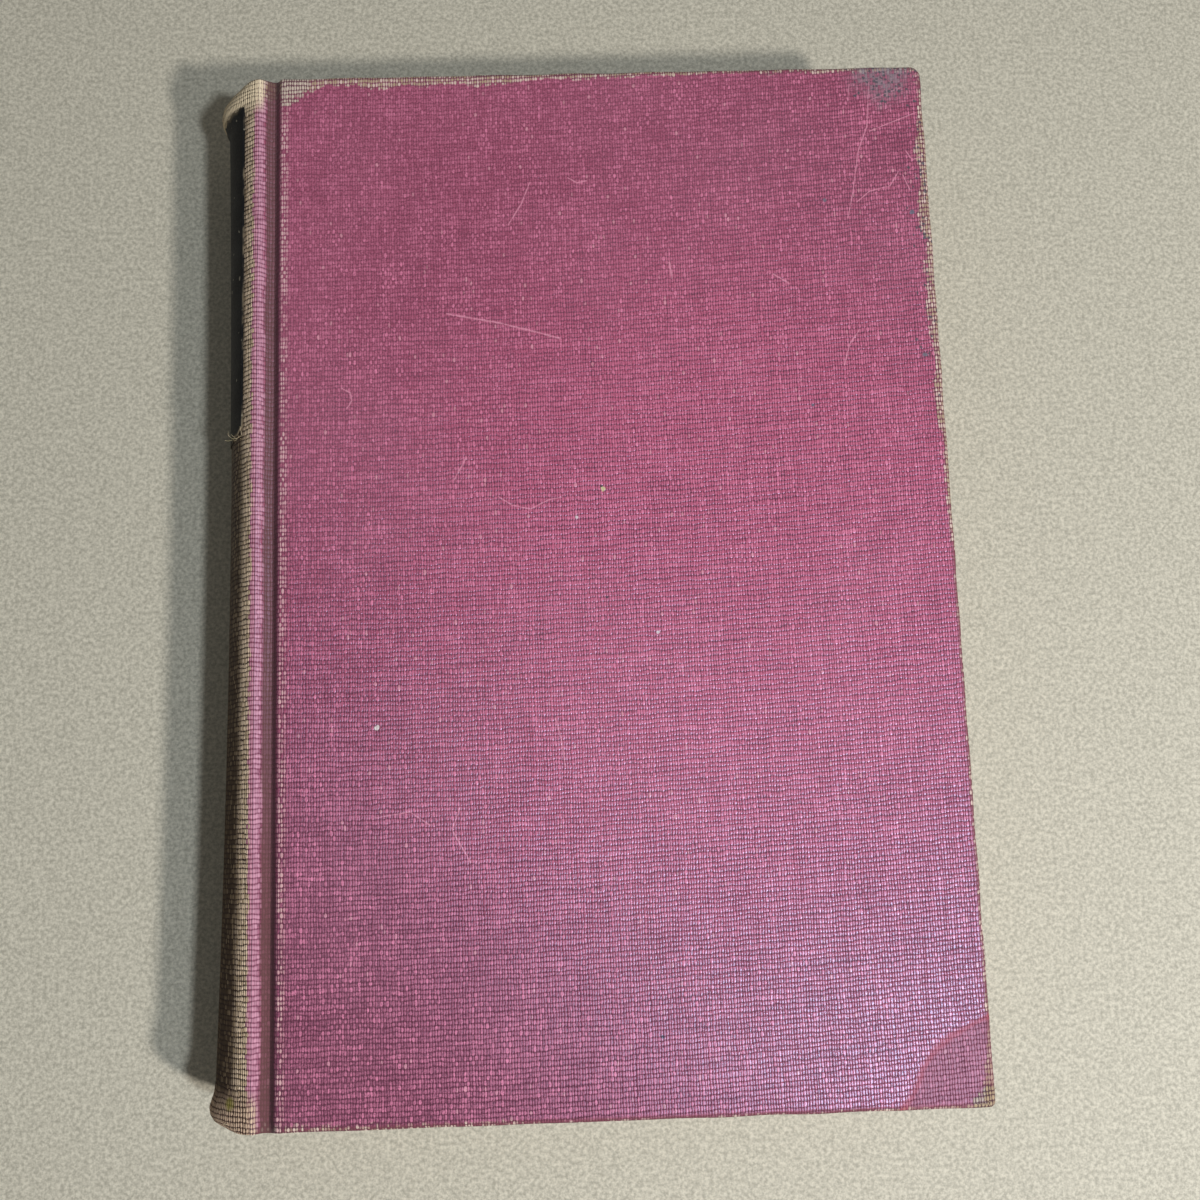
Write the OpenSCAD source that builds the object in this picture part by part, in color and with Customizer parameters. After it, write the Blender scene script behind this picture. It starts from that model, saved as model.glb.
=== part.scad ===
// Cloth-bound textbook. The pages have a rounded, backed spine and hang between two boards. One cloth
// covers the boards and the spine strip, and sinks into a joint along the spine edge of each board.
// Lengths in millimetres. X runs from the spine to the fore edge, Y from the tail to the head, and
// Z up from the back cover. The origin is on the back cover's outer face, at the middle of the book.

/* [Book] */
// Height of the covers, tail to head
cover_h = 203; // [120:1:320]
// Width of a cover, from the crease of its joint to the fore edge
cover_w = 131; // [80:1:260]
// Thickness of the closed book over both covers
book_t = 30; // [24:0.5:60]
// Distance that the covers stand out past the pages
square_w = 3; // [2.5:0.5:6]

/* [Boards] */
// Thickness of each board
board_t = 2.5; // [1.5:0.1:4]
// Distance from the crease to the board's spine edge
board_gap = 2; // [1.5:0.1:4]
// Radius of the covers' corners at the head
head_corner_r = 2.2; // [1.2:0.1:8]
// Radius of the covers' corners at the tail
tail_corner_r = 1.2; // [1.2:0.1:8]
// Radius of the covers' edges under the cloth's bend
edge_r = 0.9; // [0.4:0.1:1.1]

/* [Cloth] */
// Thickness of the cloth
cloth_t = 0.4; // [0.3:0.05:0.6]
// Width of the turn-ins inside the case
turn_in = 15; // [8:1:25]
// Width of the slit where the cloth parts along each crease
crease_gap = 0.2; // [0.1:0.05:0.5]
// Thickness of a line of paste between curved layers
paste = 0.08; // [0.06:0.01:0.12]

/* [Joints] */
// Depth of the crease below the cover's face
joint_depth = 2; // [1.2:0.1:2.4]
// Distance from the crease to the crest of the ridge
ridge_offset = 3; // [2.5:0.1:5]
// Radius of the ridge, where it turns into the back
ridge_r = 1.8; // [1.6:0.1:3]
// Drop of the ridge's crest below the cover's face
ridge_drop = 0.4; // [0.2:0.1:0.8]

/* [Spine] */
// Reach of the spine past the crease at its waist
spine_reach = 10.5; // [9.5:0.1:14]
// Extra reach half a book's height away from the waist
spine_swell = 1.5; // [0:0.1:3]
// Height of the waist above the middle of the book
waist_y = 15; // [-40:1:40]
// Extra reach of the cap at the head
head_flare = 1.8; // [0:0.1:3]
// Extra reach of the cap at the tail
tail_flare = 1; // [0:0.1:3]
// Length of the spine over which a cap flares
cap_l = 7; // [5:0.5:7]
// Radius of a cap where it rolls over the band
cap_r = 3; // [2.5:0.1:4]
// Thickness of the card strip in the spine
inlay_t = 0.5; // [0.3:0.1:0.8]
// Hollow between the card strip and the lining at the waist
hollow = 0.5; // [0.2:0.1:2]

/* [Label] */
// Length of the label along the spine
label_l = 64; // [20:1:80]
// Distance from the head of the cover to the label
label_head_gap = 7; // [7:0.5:40]
// Distance from the ridge to the label's long edge, round the back
label_margin = 2.5; // [0.5:0.1:6]
// Thickness of the label
label_t = 0.15; // [0.1:0.05:0.4]

/* [Pages] */
// Depth of the hollow in the fore edge
fore_hollow = 3.6; // [1:0.1:6]
// Distance from the crease to the foot of the shoulder, towards the spine
shoulder_gap = 0.6; // [0.2:0.1:1.5]
// Clearance between the shoulder and the cloth turned in over it
shoulder_clear = 0.3; // [0.2:0.1:1]
// Thickness of an endpaper
endpaper_t = 0.2; // [0.1:0.05:0.4]
// Clearance between a pasted endpaper and its free leaf
leaf_clear = 0.3; // [0.2:0.1:1]
// Distance that a pasted endpaper stays inside the cover's edge
pastedown_inset = 4; // [3:0.5:8]
// Run of a pasted endpaper's slope beside the edge of a turn-in
pastedown_slope = 1; // [0.5:0.1:2]

/* [Back of the pages] */
// Thickness of the gauze and of the bands' tapes
mull_t = 0.25; // [0.15:0.05:0.4]
// Thickness of the lining paper over them
lining_t = 0.2; // [0.1:0.05:0.4]
// Distance round the back from the shoulder's height to the lining's long edge
lining_margin = 2; // [1.5:0.5:6]
// Radius of a band's bead
band_r = 0.8; // [0.5:0.1:1]
// Length of a band's tape along the back
tape_l = 8; // [5:1:20]
// Clearance between a tape and the gauze
tape_clear = 0.5; // [0.3:0.1:2]

/* [Hidden] */

// Steps of the crease's slope, the ridge, half the back, the rolled cap, its flare and the spine's length
slope_steps = 4;
ridge_steps = 3;
back_steps = 7;
cap_steps = 3;
flare_steps = 3;
length_steps = 8;
edge_steps = [0, 45, 90];
// Overshoot of a cut past the face that it opens, and the thinnest plate that shapes a slope
cut = 1;
plate = 0.01;
// Share of a cap's roll that the fold inside it follows
roll_share = 0.7;
$fn = 32;

// Heights in the book, and layers counted from the outer face of a cover
mid_z = book_t / 2;
half_h = cover_h / 2;
cover_t = board_t + 2 * cloth_t;
leaf_z = cover_t + endpaper_t + leaf_clear;
text_z = leaf_z + endpaper_t;
text_h = cover_h - 2 * square_w;

// The cloth folded over the card strip, and the end of the straight part of the spine
fold_t = 2 * cloth_t + inlay_t + 2 * paste;
cap_y = half_h - cap_r;
flare_y = half_h - cap_l;
turn_y = half_h - turn_in;
ridge_z = mid_z - ridge_drop - ridge_r;

function smooth(t) = let (u = min(max(t, 0), 1)) u * u * (3 - 2 * u);

// How far the spine reaches past the crease at a height: a hollow waist and a flared cap at each end
function flare(y) = (y > 0 ? head_flare : tail_flare) * smooth((abs(y) - flare_y) / (cap_y - flare_y));
function reach(y) = spine_reach + spine_swell * pow((y - waist_y) / half_h, 2) + flare(y);

// The round of the back at a height: it touches both ridges from outside, and reaches that far
function back_radius(y) = let (a = reach(y) - ridge_offset)
    (a * a + ridge_z * ridge_z - ridge_r * ridge_r) / (2 * (a - ridge_r));
function back_centre(y) = reach(y) - back_radius(y);
function back_angle(y) = atan2(ridge_z, ridge_offset - back_centre(y));

// The book's width is centred on the origin
reach_max = max(reach(cap_y), reach(-cap_y));
crease_x = (reach_max - cover_w) / 2;
fore_x = crease_x + cover_w;
board_x = crease_x + board_gap;
text_fore_x = fore_x - square_w;

// Back of the pages, round the same centre as the spine's waist
back_x = crease_x - back_centre(waist_y);
text_r = back_radius(waist_y) - cloth_t - inlay_t - hollow - lining_t - mull_t - 4 * paste;
mull_r = text_r + paste;
lining_r = mull_r + mull_t + paste;
tip_h = mid_z - ridge_drop - fold_t - shoulder_clear;
tip_x = back_x - sqrt(text_r * text_r - tip_h * tip_h);

// A station across the spine is [part, place along it, side]: part 0 is the slope from the crease to
// the ridge, 1 the ridge and 2 the back, and side is 1 at the front and -1 at the back of the book
SLOPE = [for (i = [0 : slope_steps]) [0, i / slope_steps, 1]];
RIDGE = [for (i = [1 : ridge_steps]) [1, i / ridge_steps, 1]];
BACK = [for (i = [1 : back_steps]) [2, i / back_steps, 1]];
function turned(stations) = [for (i = [len(stations) - 1 : -1 : 0]) [stations[i].x, stations[i].y, -1]];
FRONT_HALF = concat(SLOPE, RIDGE, BACK);
MIDDLE = len(FRONT_HALF) - 1;
ACROSS = concat(FRONT_HALF, turned([for (i = [0 : MIDDLE - 1]) FRONT_HALF[i]]));
BACK_FRONT = concat([[2, 0, 1]], BACK);
BACK_ONLY = concat(BACK_FRONT, turned([for (i = [0 : back_steps - 1]) BACK_FRONT[i]]));

// Point of the cloth's outer face, past the crease and off the middle of the book, with the direction
// that its thickness is counted along: straight up on the slope, and square to the face elsewhere
function slope_point(t) = let (rise = (joint_depth - ridge_drop) * (1 - cos(180 * t)) / 2)
    [[crease_gap / 2 + (ridge_offset - crease_gap / 2) * t, mid_z - joint_depth + rise], [0, 1]];
function ridge_point(y, t) = let (a = 90 + (back_angle(y) - 90) * t, n = [cos(a), sin(a)])
    [[ridge_offset, ridge_z] + ridge_r * n, n];
function back_point(y, t) = let (a = back_angle(y) * (1 - t), n = [cos(a), sin(a)])
    [[back_centre(y), 0] + back_radius(y) * n, n];
function face_point(y, s) = s.x == 0 ? slope_point(s.y) : s.x == 1 ? ridge_point(y, s.y) : back_point(y, s.y);

// Point at a depth under that face, in the book's frame
function spine_point(y, s, depth) = let (f = face_point(y, s), p = f[0] - depth * f[1])
    [crease_x - p.x, y, mid_z + s.z * p.y];

// How fully a cap is rolled at a station: not at all up to the ridge, fully round the back
function rolled(s) = s.x < 2 ? 0 : smooth(2 * s.y);

// A ribbon runs along the spine as pairs of points, one on each of its faces. A point is [height, depth,
// extra depth where a cap is rolled]
function cap_point(r, depth, a) = [cap_y + r * sin(a), depth, r * (1 - cos(a))];
function strip(heights, depth, t) = [for (y = heights) [[y, depth, 0], [y, depth + t, 0]]];
function steps(from, to, n) = [for (i = [0 : n]) from + (to - from) * i / n];
function backwards(list) = [for (i = [len(list) - 1 : -1 : 0]) list[i]];
function inner(list) = [for (i = [1 : len(list) - 2]) list[i]];
function at_tail(ribbon) = backwards([for (pair = ribbon) [for (p = pair) [-p.x, p.y, p.z]]]);

// Heights along the spine, closer where the caps flare
FLARE = steps(flare_y, cap_y, flare_steps);
HEIGHTS = concat(backwards(-FLARE), inner(steps(-flare_y, flare_y, length_steps)), FLARE);

// The cloth runs over the cap, back under the roll and down inside the card strip
CAP_OUT = [for (i = [0 : cap_steps]) let (a = 90 * i / cap_steps)
    [cap_point(cap_r, 0, a), cap_point(cap_r - cloth_t, cloth_t, roll_share * a)]];
CAP_IN = [for (i = [0 : cap_steps]) let (a = 90 * i / cap_steps)
    [cap_point(cap_r - fold_t, fold_t, a), cap_point(cap_r - fold_t + cloth_t, fold_t - cloth_t, roll_share * a)]];
TURN_IN = strip(concat([turn_y], [for (i = [0 : flare_steps - 1]) FLARE[i]]), fold_t, -cloth_t);
HEAD_CAP = concat(CAP_OUT, backwards(CAP_IN), backwards(TURN_IN));
CLOTH = concat(at_tail(HEAD_CAP), inner(strip(HEIGHTS, 0, cloth_t)), HEAD_CAP);

// Closed skin through one ring of points for each station. A ring runs up one face of a ribbon and
// back down the other
module loft(rings) {
    n = len(rings[0]);
    m = len(rings);
    sides = [for (i = [0 : m - 2], j = [0 : n - 1]) let (k = (j + 1) % n)
        [i * n + j, (i + 1) * n + j, (i + 1) * n + k, i * n + k]];
    first = [for (j = [0 : n / 2 - 2]) [j, j + 1, n - 2 - j, n - 1 - j]];
    last = [for (f = first) [for (j = backwards(f)) (m - 1) * n + j]];
    polyhedron(points = [for (r = rings) each r], faces = concat(sides, first, last), convexity = 8);
}

// Layer of the spine: a ribbon carried across the stations
module spine_layer(ribbon, stations) {
    ring = concat([for (pair = ribbon) pair[0]], backwards([for (pair = ribbon) pair[1]]));
    loft([for (s = stations) [for (p = ring) spine_point(p.x, s, p.y + rolled(s) * p.z)]]);
}

// Shape modelled as on the back cover, put on the front one
module at_front() {
    translate([0, 0, book_t]) mirror([0, 0, 1]) children();
}

// Outline of a cover, drawn in from its edges, with its fore-edge corners rounded
module cover_outline(inset, from_x = board_x) {
    x1 = fore_x - inset;
    y1 = half_h - inset;
    head_r = head_corner_r - inset;
    tail_r = tail_corner_r - inset;
    translate([from_x, 0]) square([x1 - head_r - from_x, y1]);
    translate([from_x, -y1]) square([x1 - tail_r - from_x, y1]);
    translate([from_x, tail_r - y1]) square([x1 - from_x, 2 * y1 - head_r - tail_r]);
    translate([x1 - head_r, y1 - head_r]) circle(head_r);
    translate([x1 - tail_r, tail_r - y1]) circle(tail_r);
}

// Opening that the turn-ins leave on the inside of a cover, drawn in from their edges
module turn_in_window(inset, from_x) {
    translate([from_x, -turn_y + inset]) square([fore_x - turn_in - inset - from_x, 2 * (turn_y - inset)]);
}

// Cover with rounded edges, outer face down
module cover_body() {
    hull() for (a = edge_steps) {
        in = edge_r * (1 - cos(a));
        translate([0, 0, in]) linear_extrude(cover_t - 2 * in) cover_outline(edge_r * (1 - sin(a)));
    }
}

// Cloth from the crease up to the cover's face, drawn as a section across the joint
module joint_slope() {
    slope = [for (i = [0 : slope_steps]) let (t = i / slope_steps)
        [crease_x + crease_gap / 2 + (board_gap - crease_gap / 2) * t, joint_depth * (1 + cos(180 * t)) / 2]];
    outer = concat(slope, [[board_x + cut, 0]]);
    inside = [for (p = outer) p + [0, cloth_t]];
    along(cover_h - 2 * edge_r) polygon(concat(outer, backwards(inside)));
}

module cover_cloth() {
    difference() {
        cover_body();
        translate([0, 0, cloth_t]) linear_extrude(board_t) cover_outline(cloth_t, board_x - cut);
        translate([0, 0, cover_t - cloth_t - plate]) linear_extrude(cloth_t + cut) turn_in_window(0, board_x - cut);
    }
    joint_slope();
}

module cover_board() {
    translate([0, 0, cloth_t]) linear_extrude(board_t) cover_outline(cloth_t + paste);
}

// Sheet that lies over the turn-ins and sinks to the board between them
module pastedown_hollow(lift, from_x) {
    hull() {
        translate([0, 0, cover_t + lift]) linear_extrude(endpaper_t) turn_in_window(0, from_x);
        translate([0, 0, cover_t - cloth_t + lift]) linear_extrude(plate) turn_in_window(pastedown_slope, from_x);
    }
}

module pastedown() {
    difference() {
        union() {
            translate([board_x, pastedown_inset - half_h, cover_t])
                cube([fore_x - pastedown_inset - board_x, cover_h - 2 * pastedown_inset, endpaper_t]);
            pastedown_hollow(0, board_x);
        }
        pastedown_hollow(endpaper_t, board_x - cut);
    }
}

module flyleaf() {
    translate([crease_x - shoulder_gap, -text_h / 2, leaf_z])
        cube([text_fore_x - crease_x + shoulder_gap, text_h, endpaper_t]);
}

// Section of the pages: flat faces and sloping shoulders, as far as the inside of the round back
module text_body_section() {
    lower = [[text_fore_x, text_z], [crease_x - shoulder_gap, text_z], [tip_x, mid_z - tip_h]];
    upper = [for (p = backwards(lower)) [p.x, book_t - p.y]];
    inside_back = [(tip_x + back_x - text_r) / 2, mid_z];
    polygon(concat(lower, [inside_back], upper));
}

// Section of the round back, between the tips of the shoulders
module text_back_section() {
    intersection() {
        translate([back_x, mid_z]) circle(text_r);
        translate([tip_x - text_r, mid_z - text_r]) square([text_r, 2 * text_r]);
    }
}

// Section of the hollow in the fore edge
module fore_hollow_section() {
    text_t = book_t - 2 * text_z;
    fore_r = (text_t * text_t / 4 + fore_hollow * fore_hollow) / (2 * fore_hollow);
    translate([text_fore_x - fore_hollow + fore_r, mid_z]) circle(fore_r);
}

// Section across the book, carried along its height
module along(l) {
    rotate([90, 0, 0]) linear_extrude(l, center = true) children();
}

// Layer on the back of the pages: a section carried round between the shoulders. Its outer face, at a
// radius, ends level with their tips or at a margin below them
module round_back(r, margin = 0) {
    end = asin(tip_h / r) - margin / r * 180 / PI;
    translate([back_x, 0, mid_z]) rotate([90, 0, 0]) rotate([0, 0, 180 - end])
        rotate_extrude(angle = 2 * end) children();
}

module back_strip(r, t, l, margin = 0) {
    round_back(r + t, margin) translate([r, -l / 2]) square([t, l]);
}

// Bead that stands on the end of the pages, and its tape down the back
module band() {
    round_back(mull_r + mull_t) {
        translate([mull_r, text_h / 2 - tape_l]) square([mull_t, tape_l + band_r]);
        translate([mull_r + mull_t - band_r, text_h / 2 + paste + band_r]) circle(band_r);
    }
}

module text_block() {
    color("antiquewhite") difference() {
        union() {
            along(text_h) text_body_section();
            along(text_h) text_back_section();
        }
        along(text_h + 2 * cut) fore_hollow_section();
    }
}

module front_flyleaf() {
    color("oldlace") at_front() flyleaf();
}

module back_flyleaf() {
    color("oldlace") flyleaf();
}

module mull() {
    color("ivory") back_strip(mull_r, mull_t, text_h - 2 * tape_l - 2 * tape_clear);
}

module back_lining() {
    color("peru") back_strip(lining_r, lining_t, text_h, lining_margin);
}

module head_band() {
    color("wheat") mirror([0, 1, 0]) band();
}

module tail_band() {
    color("wheat") band();
}

module spine_inlay() {
    heights = concat([paste - cap_y], inner(HEIGHTS), [cap_y - paste]);
    color("tan") spine_layer(strip(heights, cloth_t + paste, inlay_t), BACK_ONLY);
}

module spine_cloth() {
    color("rosybrown") spine_layer(CLOTH, ACROSS);
}

// Panel on the upper part of the back, over the cloth
module spine_label() {
    head_y = half_h - label_head_gap;
    margin = label_margin / (back_radius(waist_y) * back_angle(waist_y) * PI / 180);
    front = [for (i = [0 : back_steps]) [2, margin + (1 - margin) * i / back_steps, 1]];
    across = concat(front, turned([for (i = [0 : back_steps - 1]) front[i]]));
    heights = steps(head_y - label_l, head_y, length_steps);
    color("black") spine_layer(strip(heights, -paste - label_t, label_t), across);
}

module front_board() {
    color("darkkhaki") at_front() cover_board();
}

module front_cloth() {
    color("palevioletred") at_front() cover_cloth();
}

module front_pastedown() {
    color("linen") at_front() pastedown();
}

module back_board() {
    color("darkkhaki") cover_board();
}

module back_cloth() {
    color("palevioletred") cover_cloth();
}

module back_pastedown() {
    color("linen") pastedown();
}

text_block();
front_flyleaf();
back_flyleaf();
mull();
back_lining();
head_band();
tail_band();
spine_inlay();
spine_cloth();
spine_label();
front_board();
front_cloth();
front_pastedown();
back_board();
back_cloth();
back_pastedown();
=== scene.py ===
"""Worn cloth-bound textbook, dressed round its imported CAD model.

Lengths are in millimetres until a mesh is made, in the part's own frame: X from the spine to the fore
edge, Y from the tail to the head, Z up from the back cover.
"""

import math

import bpy
import numpy as np
from mathutils import Euler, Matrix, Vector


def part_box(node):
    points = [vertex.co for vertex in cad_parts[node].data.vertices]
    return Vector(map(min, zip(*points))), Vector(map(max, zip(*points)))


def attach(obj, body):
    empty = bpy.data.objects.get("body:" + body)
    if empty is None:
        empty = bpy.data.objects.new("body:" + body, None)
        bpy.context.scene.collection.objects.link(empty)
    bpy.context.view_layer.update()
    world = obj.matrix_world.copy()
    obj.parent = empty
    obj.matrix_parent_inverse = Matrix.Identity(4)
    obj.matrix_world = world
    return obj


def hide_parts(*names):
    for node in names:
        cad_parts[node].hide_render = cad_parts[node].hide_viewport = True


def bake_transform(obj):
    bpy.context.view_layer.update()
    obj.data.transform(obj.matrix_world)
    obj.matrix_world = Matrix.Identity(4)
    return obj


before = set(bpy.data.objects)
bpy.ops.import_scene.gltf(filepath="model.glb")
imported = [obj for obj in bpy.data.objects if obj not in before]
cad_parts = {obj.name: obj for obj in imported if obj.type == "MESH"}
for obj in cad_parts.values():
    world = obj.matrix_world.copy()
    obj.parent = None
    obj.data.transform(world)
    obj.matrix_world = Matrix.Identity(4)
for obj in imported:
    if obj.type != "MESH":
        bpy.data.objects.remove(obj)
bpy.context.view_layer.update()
MM = 0.001

# Sizes of the book, as in the part's source
COVER_H = 203.0
COVER_W = 131.0
BOOK_T = 30.0
CLOTH_T = 0.4
COVER_T = 3.3
TURN_IN = 15.0
EDGE_R = 0.9
HEAD_CORNER_R = 2.2
TAIL_CORNER_R = 1.2
BOARD_GAP = 2.0
JOINT_DEPTH = 2.0
CREASE_GAP = 0.2
RIDGE_OFFSET = 3.0
RIDGE_R = 1.8
RIDGE_DROP = 0.4
SPINE_REACH = 10.5
SPINE_SWELL = 1.5
WAIST_Y = 15.0
HEAD_FLARE = 1.8
TAIL_FLARE = 1.0
CAP_L = 7.0
CAP_R = 3.0
FOLD_T = 1.46
PASTE = 0.08
LABEL_T = 0.15
LABEL_MARGIN = 2.5
TEXT_H = 197.0
TEXT_Z = 4.0
TEXT_R = 16.85
TIP_H = 12.84
SHOULDER_GAP = 0.6
FORE_HOLLOW = 3.6
SQUARE_W = 3.0
PASTEDOWN_INSET = 4.0
BAND_R = 0.8
BAND_PATH_R = 16.38

# Places that follow from them
HALF_H = COVER_H / 2
MID_Z = BOOK_T / 2
CREASE_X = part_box("front_cloth")[1].x / MM - COVER_W
FORE_X = CREASE_X + COVER_W
BOARD_X = CREASE_X + BOARD_GAP
TEXT_FORE_X = FORE_X - SQUARE_W
CAP_Y = HALF_H - CAP_R
FLARE_Y = HALF_H - CAP_L
TURN_Y = HALF_H - TURN_IN
RIDGE_Z = MID_Z - RIDGE_DROP - RIDGE_R


def smooth(t):
    u = np.clip(t, 0, 1)
    return u * u * (3 - 2 * u)


# The round of the spine

def reach(y):
    flare = np.where(y > 0, HEAD_FLARE, TAIL_FLARE) * smooth((np.abs(y) - FLARE_Y) / (CAP_Y - FLARE_Y))
    return SPINE_REACH + SPINE_SWELL * ((y - WAIST_Y) / HALF_H) ** 2 + flare


def back_circle(y):
    """Centre past the crease, radius and half angle of the back at a height."""
    a = reach(y) - RIDGE_OFFSET
    radius = (a * a + RIDGE_Z**2 - RIDGE_R**2) / (2 * (a - RIDGE_R))
    centre = reach(y) - radius
    return centre, radius, np.arctan2(RIDGE_Z, RIDGE_OFFSET - centre)


def spine_point(part, t, side, y, depth):
    """Points under the spine's outer face: part 1 is the ridge, 2 the back, and t runs to the middle."""
    centre, radius, half = back_circle(y)
    if part == 1:
        a = math.pi / 2 + (half - math.pi / 2) * t
        s = RIDGE_OFFSET + (RIDGE_R - depth) * np.cos(a)
        h = RIDGE_Z + (RIDGE_R - depth) * np.sin(a)
    else:
        a = half * (1 - t)
        s = centre + (radius - depth) * np.cos(a)
        h = (radius - depth) * np.sin(a)
    return np.stack([CREASE_X - s, y, MID_Z + side * h], -1)


# Sections of the cloth's edges, as pairs of inset from the outline and depth under the outer face

RAW_EDGE = 0.3
QUARTER = [math.radians(22.5 * k) for k in range(5)]


def board_edge():
    points = [(EDGE_R * (1 - math.sin(a)), EDGE_R * (1 - math.cos(a))) for a in QUARTER]
    points += [(0.0, EDGE_R + (COVER_T - 2 * EDGE_R) * k / 4) for k in range(1, 5)]
    for a in QUARTER[2::2]:
        points.append((EDGE_R * (1 - math.cos(a)), COVER_T - EDGE_R * (1 - math.sin(a))))
    points += [(6.0, COVER_T), (TURN_IN, COVER_T), (TURN_IN, COVER_T - RAW_EDGE)]
    return np.array(points)


def spine_edge(roll):
    """Section of a cap: the cloth rolls over, turns at the lip and runs back inside."""
    inner_r = CAP_R - FOLD_T
    outside = [(CAP_R * (1 - math.sin(a)), roll * CAP_R * (1 - math.cos(a))) for a in QUARTER]
    inside = [(CAP_R - inner_r * math.sin(a), FOLD_T + roll * inner_r * (1 - math.cos(a)))
              for a in QUARTER[::-2]]
    begin = np.array(outside[-1])
    finish = np.array(inside[0])
    along = finish - begin
    bulge = 0.3 * np.array([-along[1], along[0]])
    lip = [tuple(begin + along * k / 4 + bulge * math.sin(math.pi * k / 4)) for k in (1, 2, 3)]
    tail = [(8.0, FOLD_T), (TURN_IN, FOLD_T), (TURN_IN, FOLD_T - RAW_EDGE)]
    return np.array(outside + lip + inside + tail)


BOARD_EDGE = board_edge()
EDGE_COUNT = len(BOARD_EDGE)


# Rows and columns of the cloth's grid

CORNER_STEPS = 4
ROW_COUNT = 84
FACE_COUNT = 52


def grid_rows():
    """Heights of the rows on a board, closer at the two corners."""
    steps = np.linspace(0, 1, CORNER_STEPS + 1)
    head = HALF_H - EDGE_R - (HEAD_CORNER_R - EDGE_R) * (1 - steps)
    tail = -(HALF_H - EDGE_R - (TAIL_CORNER_R - EDGE_R) * (1 - steps))
    middle = np.linspace(tail[0], head[0], ROW_COUNT)
    return np.concatenate([tail[::-1], middle[1:-1], head])


ROWS = grid_rows()


def joint_columns():
    """Columns from the ridge's crest down to the crease and up to the board: x, depth of the face, and
    how far the edge's section has changed from the spine's to the board's."""
    columns = []
    for t in np.linspace(1, 0, 11):
        rise = (JOINT_DEPTH - RIDGE_DROP) * (1 - math.cos(math.pi * t)) / 2
        s = CREASE_GAP / 2 + (RIDGE_OFFSET - CREASE_GAP / 2) * t
        columns.append((CREASE_X - s, JOINT_DEPTH - rise, t, 0.0))
    for t in np.linspace(0, 1, 9):
        depth = JOINT_DEPTH * (1 + math.cos(math.pi * t)) / 2
        x = CREASE_X + CREASE_GAP / 2 + (BOARD_GAP - CREASE_GAP / 2) * t
        columns.append((x, depth, 0.0, float(smooth(t))))
    return columns


JOINT = joint_columns()
# Share of a fold's thickness that is left at the crease
CREASE_FOLD = 0.62


def column_edge(fold, change):
    edge = spine_edge(0.0).copy()
    edge[:, 1] *= CREASE_FOLD + (1 - CREASE_FOLD) * fold
    return edge + (BOARD_EDGE - edge) * change


def joint_lengths():
    """Distance of each joint column from the board, along the cloth, as it lies towards the spine."""
    x = np.array([c[0] for c in JOINT])
    z = np.array([c[1] for c in JOINT])
    steps = np.hypot(np.diff(x), np.diff(z))
    return np.concatenate([np.cumsum(steps[::-1])[::-1], [0.0]])


JOINT_R = joint_lengths()
CREST_R = float(JOINT_R[0])


def corner_disc(a, b):
    """A square corner of the grid laid into a quarter circle."""
    return a * np.sqrt(1 - b * b / 2), b * np.sqrt(1 - a * a / 2)


def corner_at(j):
    """Corner radius, side and share of the way into the corner of a row; None on the straight part."""
    last = len(ROWS) - 1
    if j <= CORNER_STEPS:
        return TAIL_CORNER_R, -1, (CORNER_STEPS - j) / CORNER_STEPS
    if j >= last - CORNER_STEPS:
        return HEAD_CORNER_R, 1, (j - last + CORNER_STEPS) / CORNER_STEPS
    return None


def fore_radius(y):
    return TAIL_CORNER_R + (HEAD_CORNER_R - TAIL_CORNER_R) * float(smooth((y + HALF_H) / COVER_H))


def edge_lengths(section):
    return np.concatenate([[0.0], np.cumsum(np.hypot(*np.diff(section, axis=0).T))])


# Frayed outline: how far the cloth's edge strays from the board's straight one, and where it does

STRAY = 0.04
STRAY_INSET = EDGE_R + 1
STRAY_STEPS = 11
# Least radius that a corner keeps where the turn-in is deeper than the corner is round
CORNER_KEEP = 0.05


def stray(y, x):
    waves = (0.31 * y + 1.3, 0.83 * x + 0.4 * y, 2.1 * y + x)
    return sum(STRAY * math.sin(wave) for wave in waves)


def cover_cloth_points():
    """Points of a cover's cloth with depth counted from the outer face, the place of each one on the
    unrolled cloth, and the faces between them."""
    face_x = list(np.linspace(BOARD_X, FORE_X - HEAD_CORNER_R, FACE_COUNT))[1:]
    columns = len(JOINT) + len(face_x) + CORNER_STEPS
    points, cloth = [], []
    for i in range(columns):
        for j, row in enumerate(ROWS):
            points.append(cover_face_point(i, j, row, face_x))
            cloth.append(cloth_place(i, points[-1]))
    rows = len(ROWS)
    faces = [(i * rows + j, (i + 1) * rows + j, (i + 1) * rows + j + 1, i * rows + j + 1)
             for i in range(columns - 1) for j in range(rows - 1)]
    rim = [(i, 0) for i in range(columns)] + [(columns - 1, j) for j in range(1, rows)]
    rim += [(i, rows - 1) for i in range(columns - 2, -1, -1)]
    ring = [i * rows + j for i, j in rim]
    for k in range(1, EDGE_COUNT):
        base = len(points)
        for i, j in rim:
            point, place = cover_rim_point(i, j, k, columns, points[i * rows + j], cloth[i * rows + j])
            points.append(point)
            cloth.append(place)
        new_ring = list(range(base, base + len(rim)))
        faces += [(ring[b], new_ring[b], new_ring[b + 1], ring[b + 1]) for b in range(len(rim) - 1)]
        ring = new_ring
    return np.array(points), np.array(cloth), faces


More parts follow.
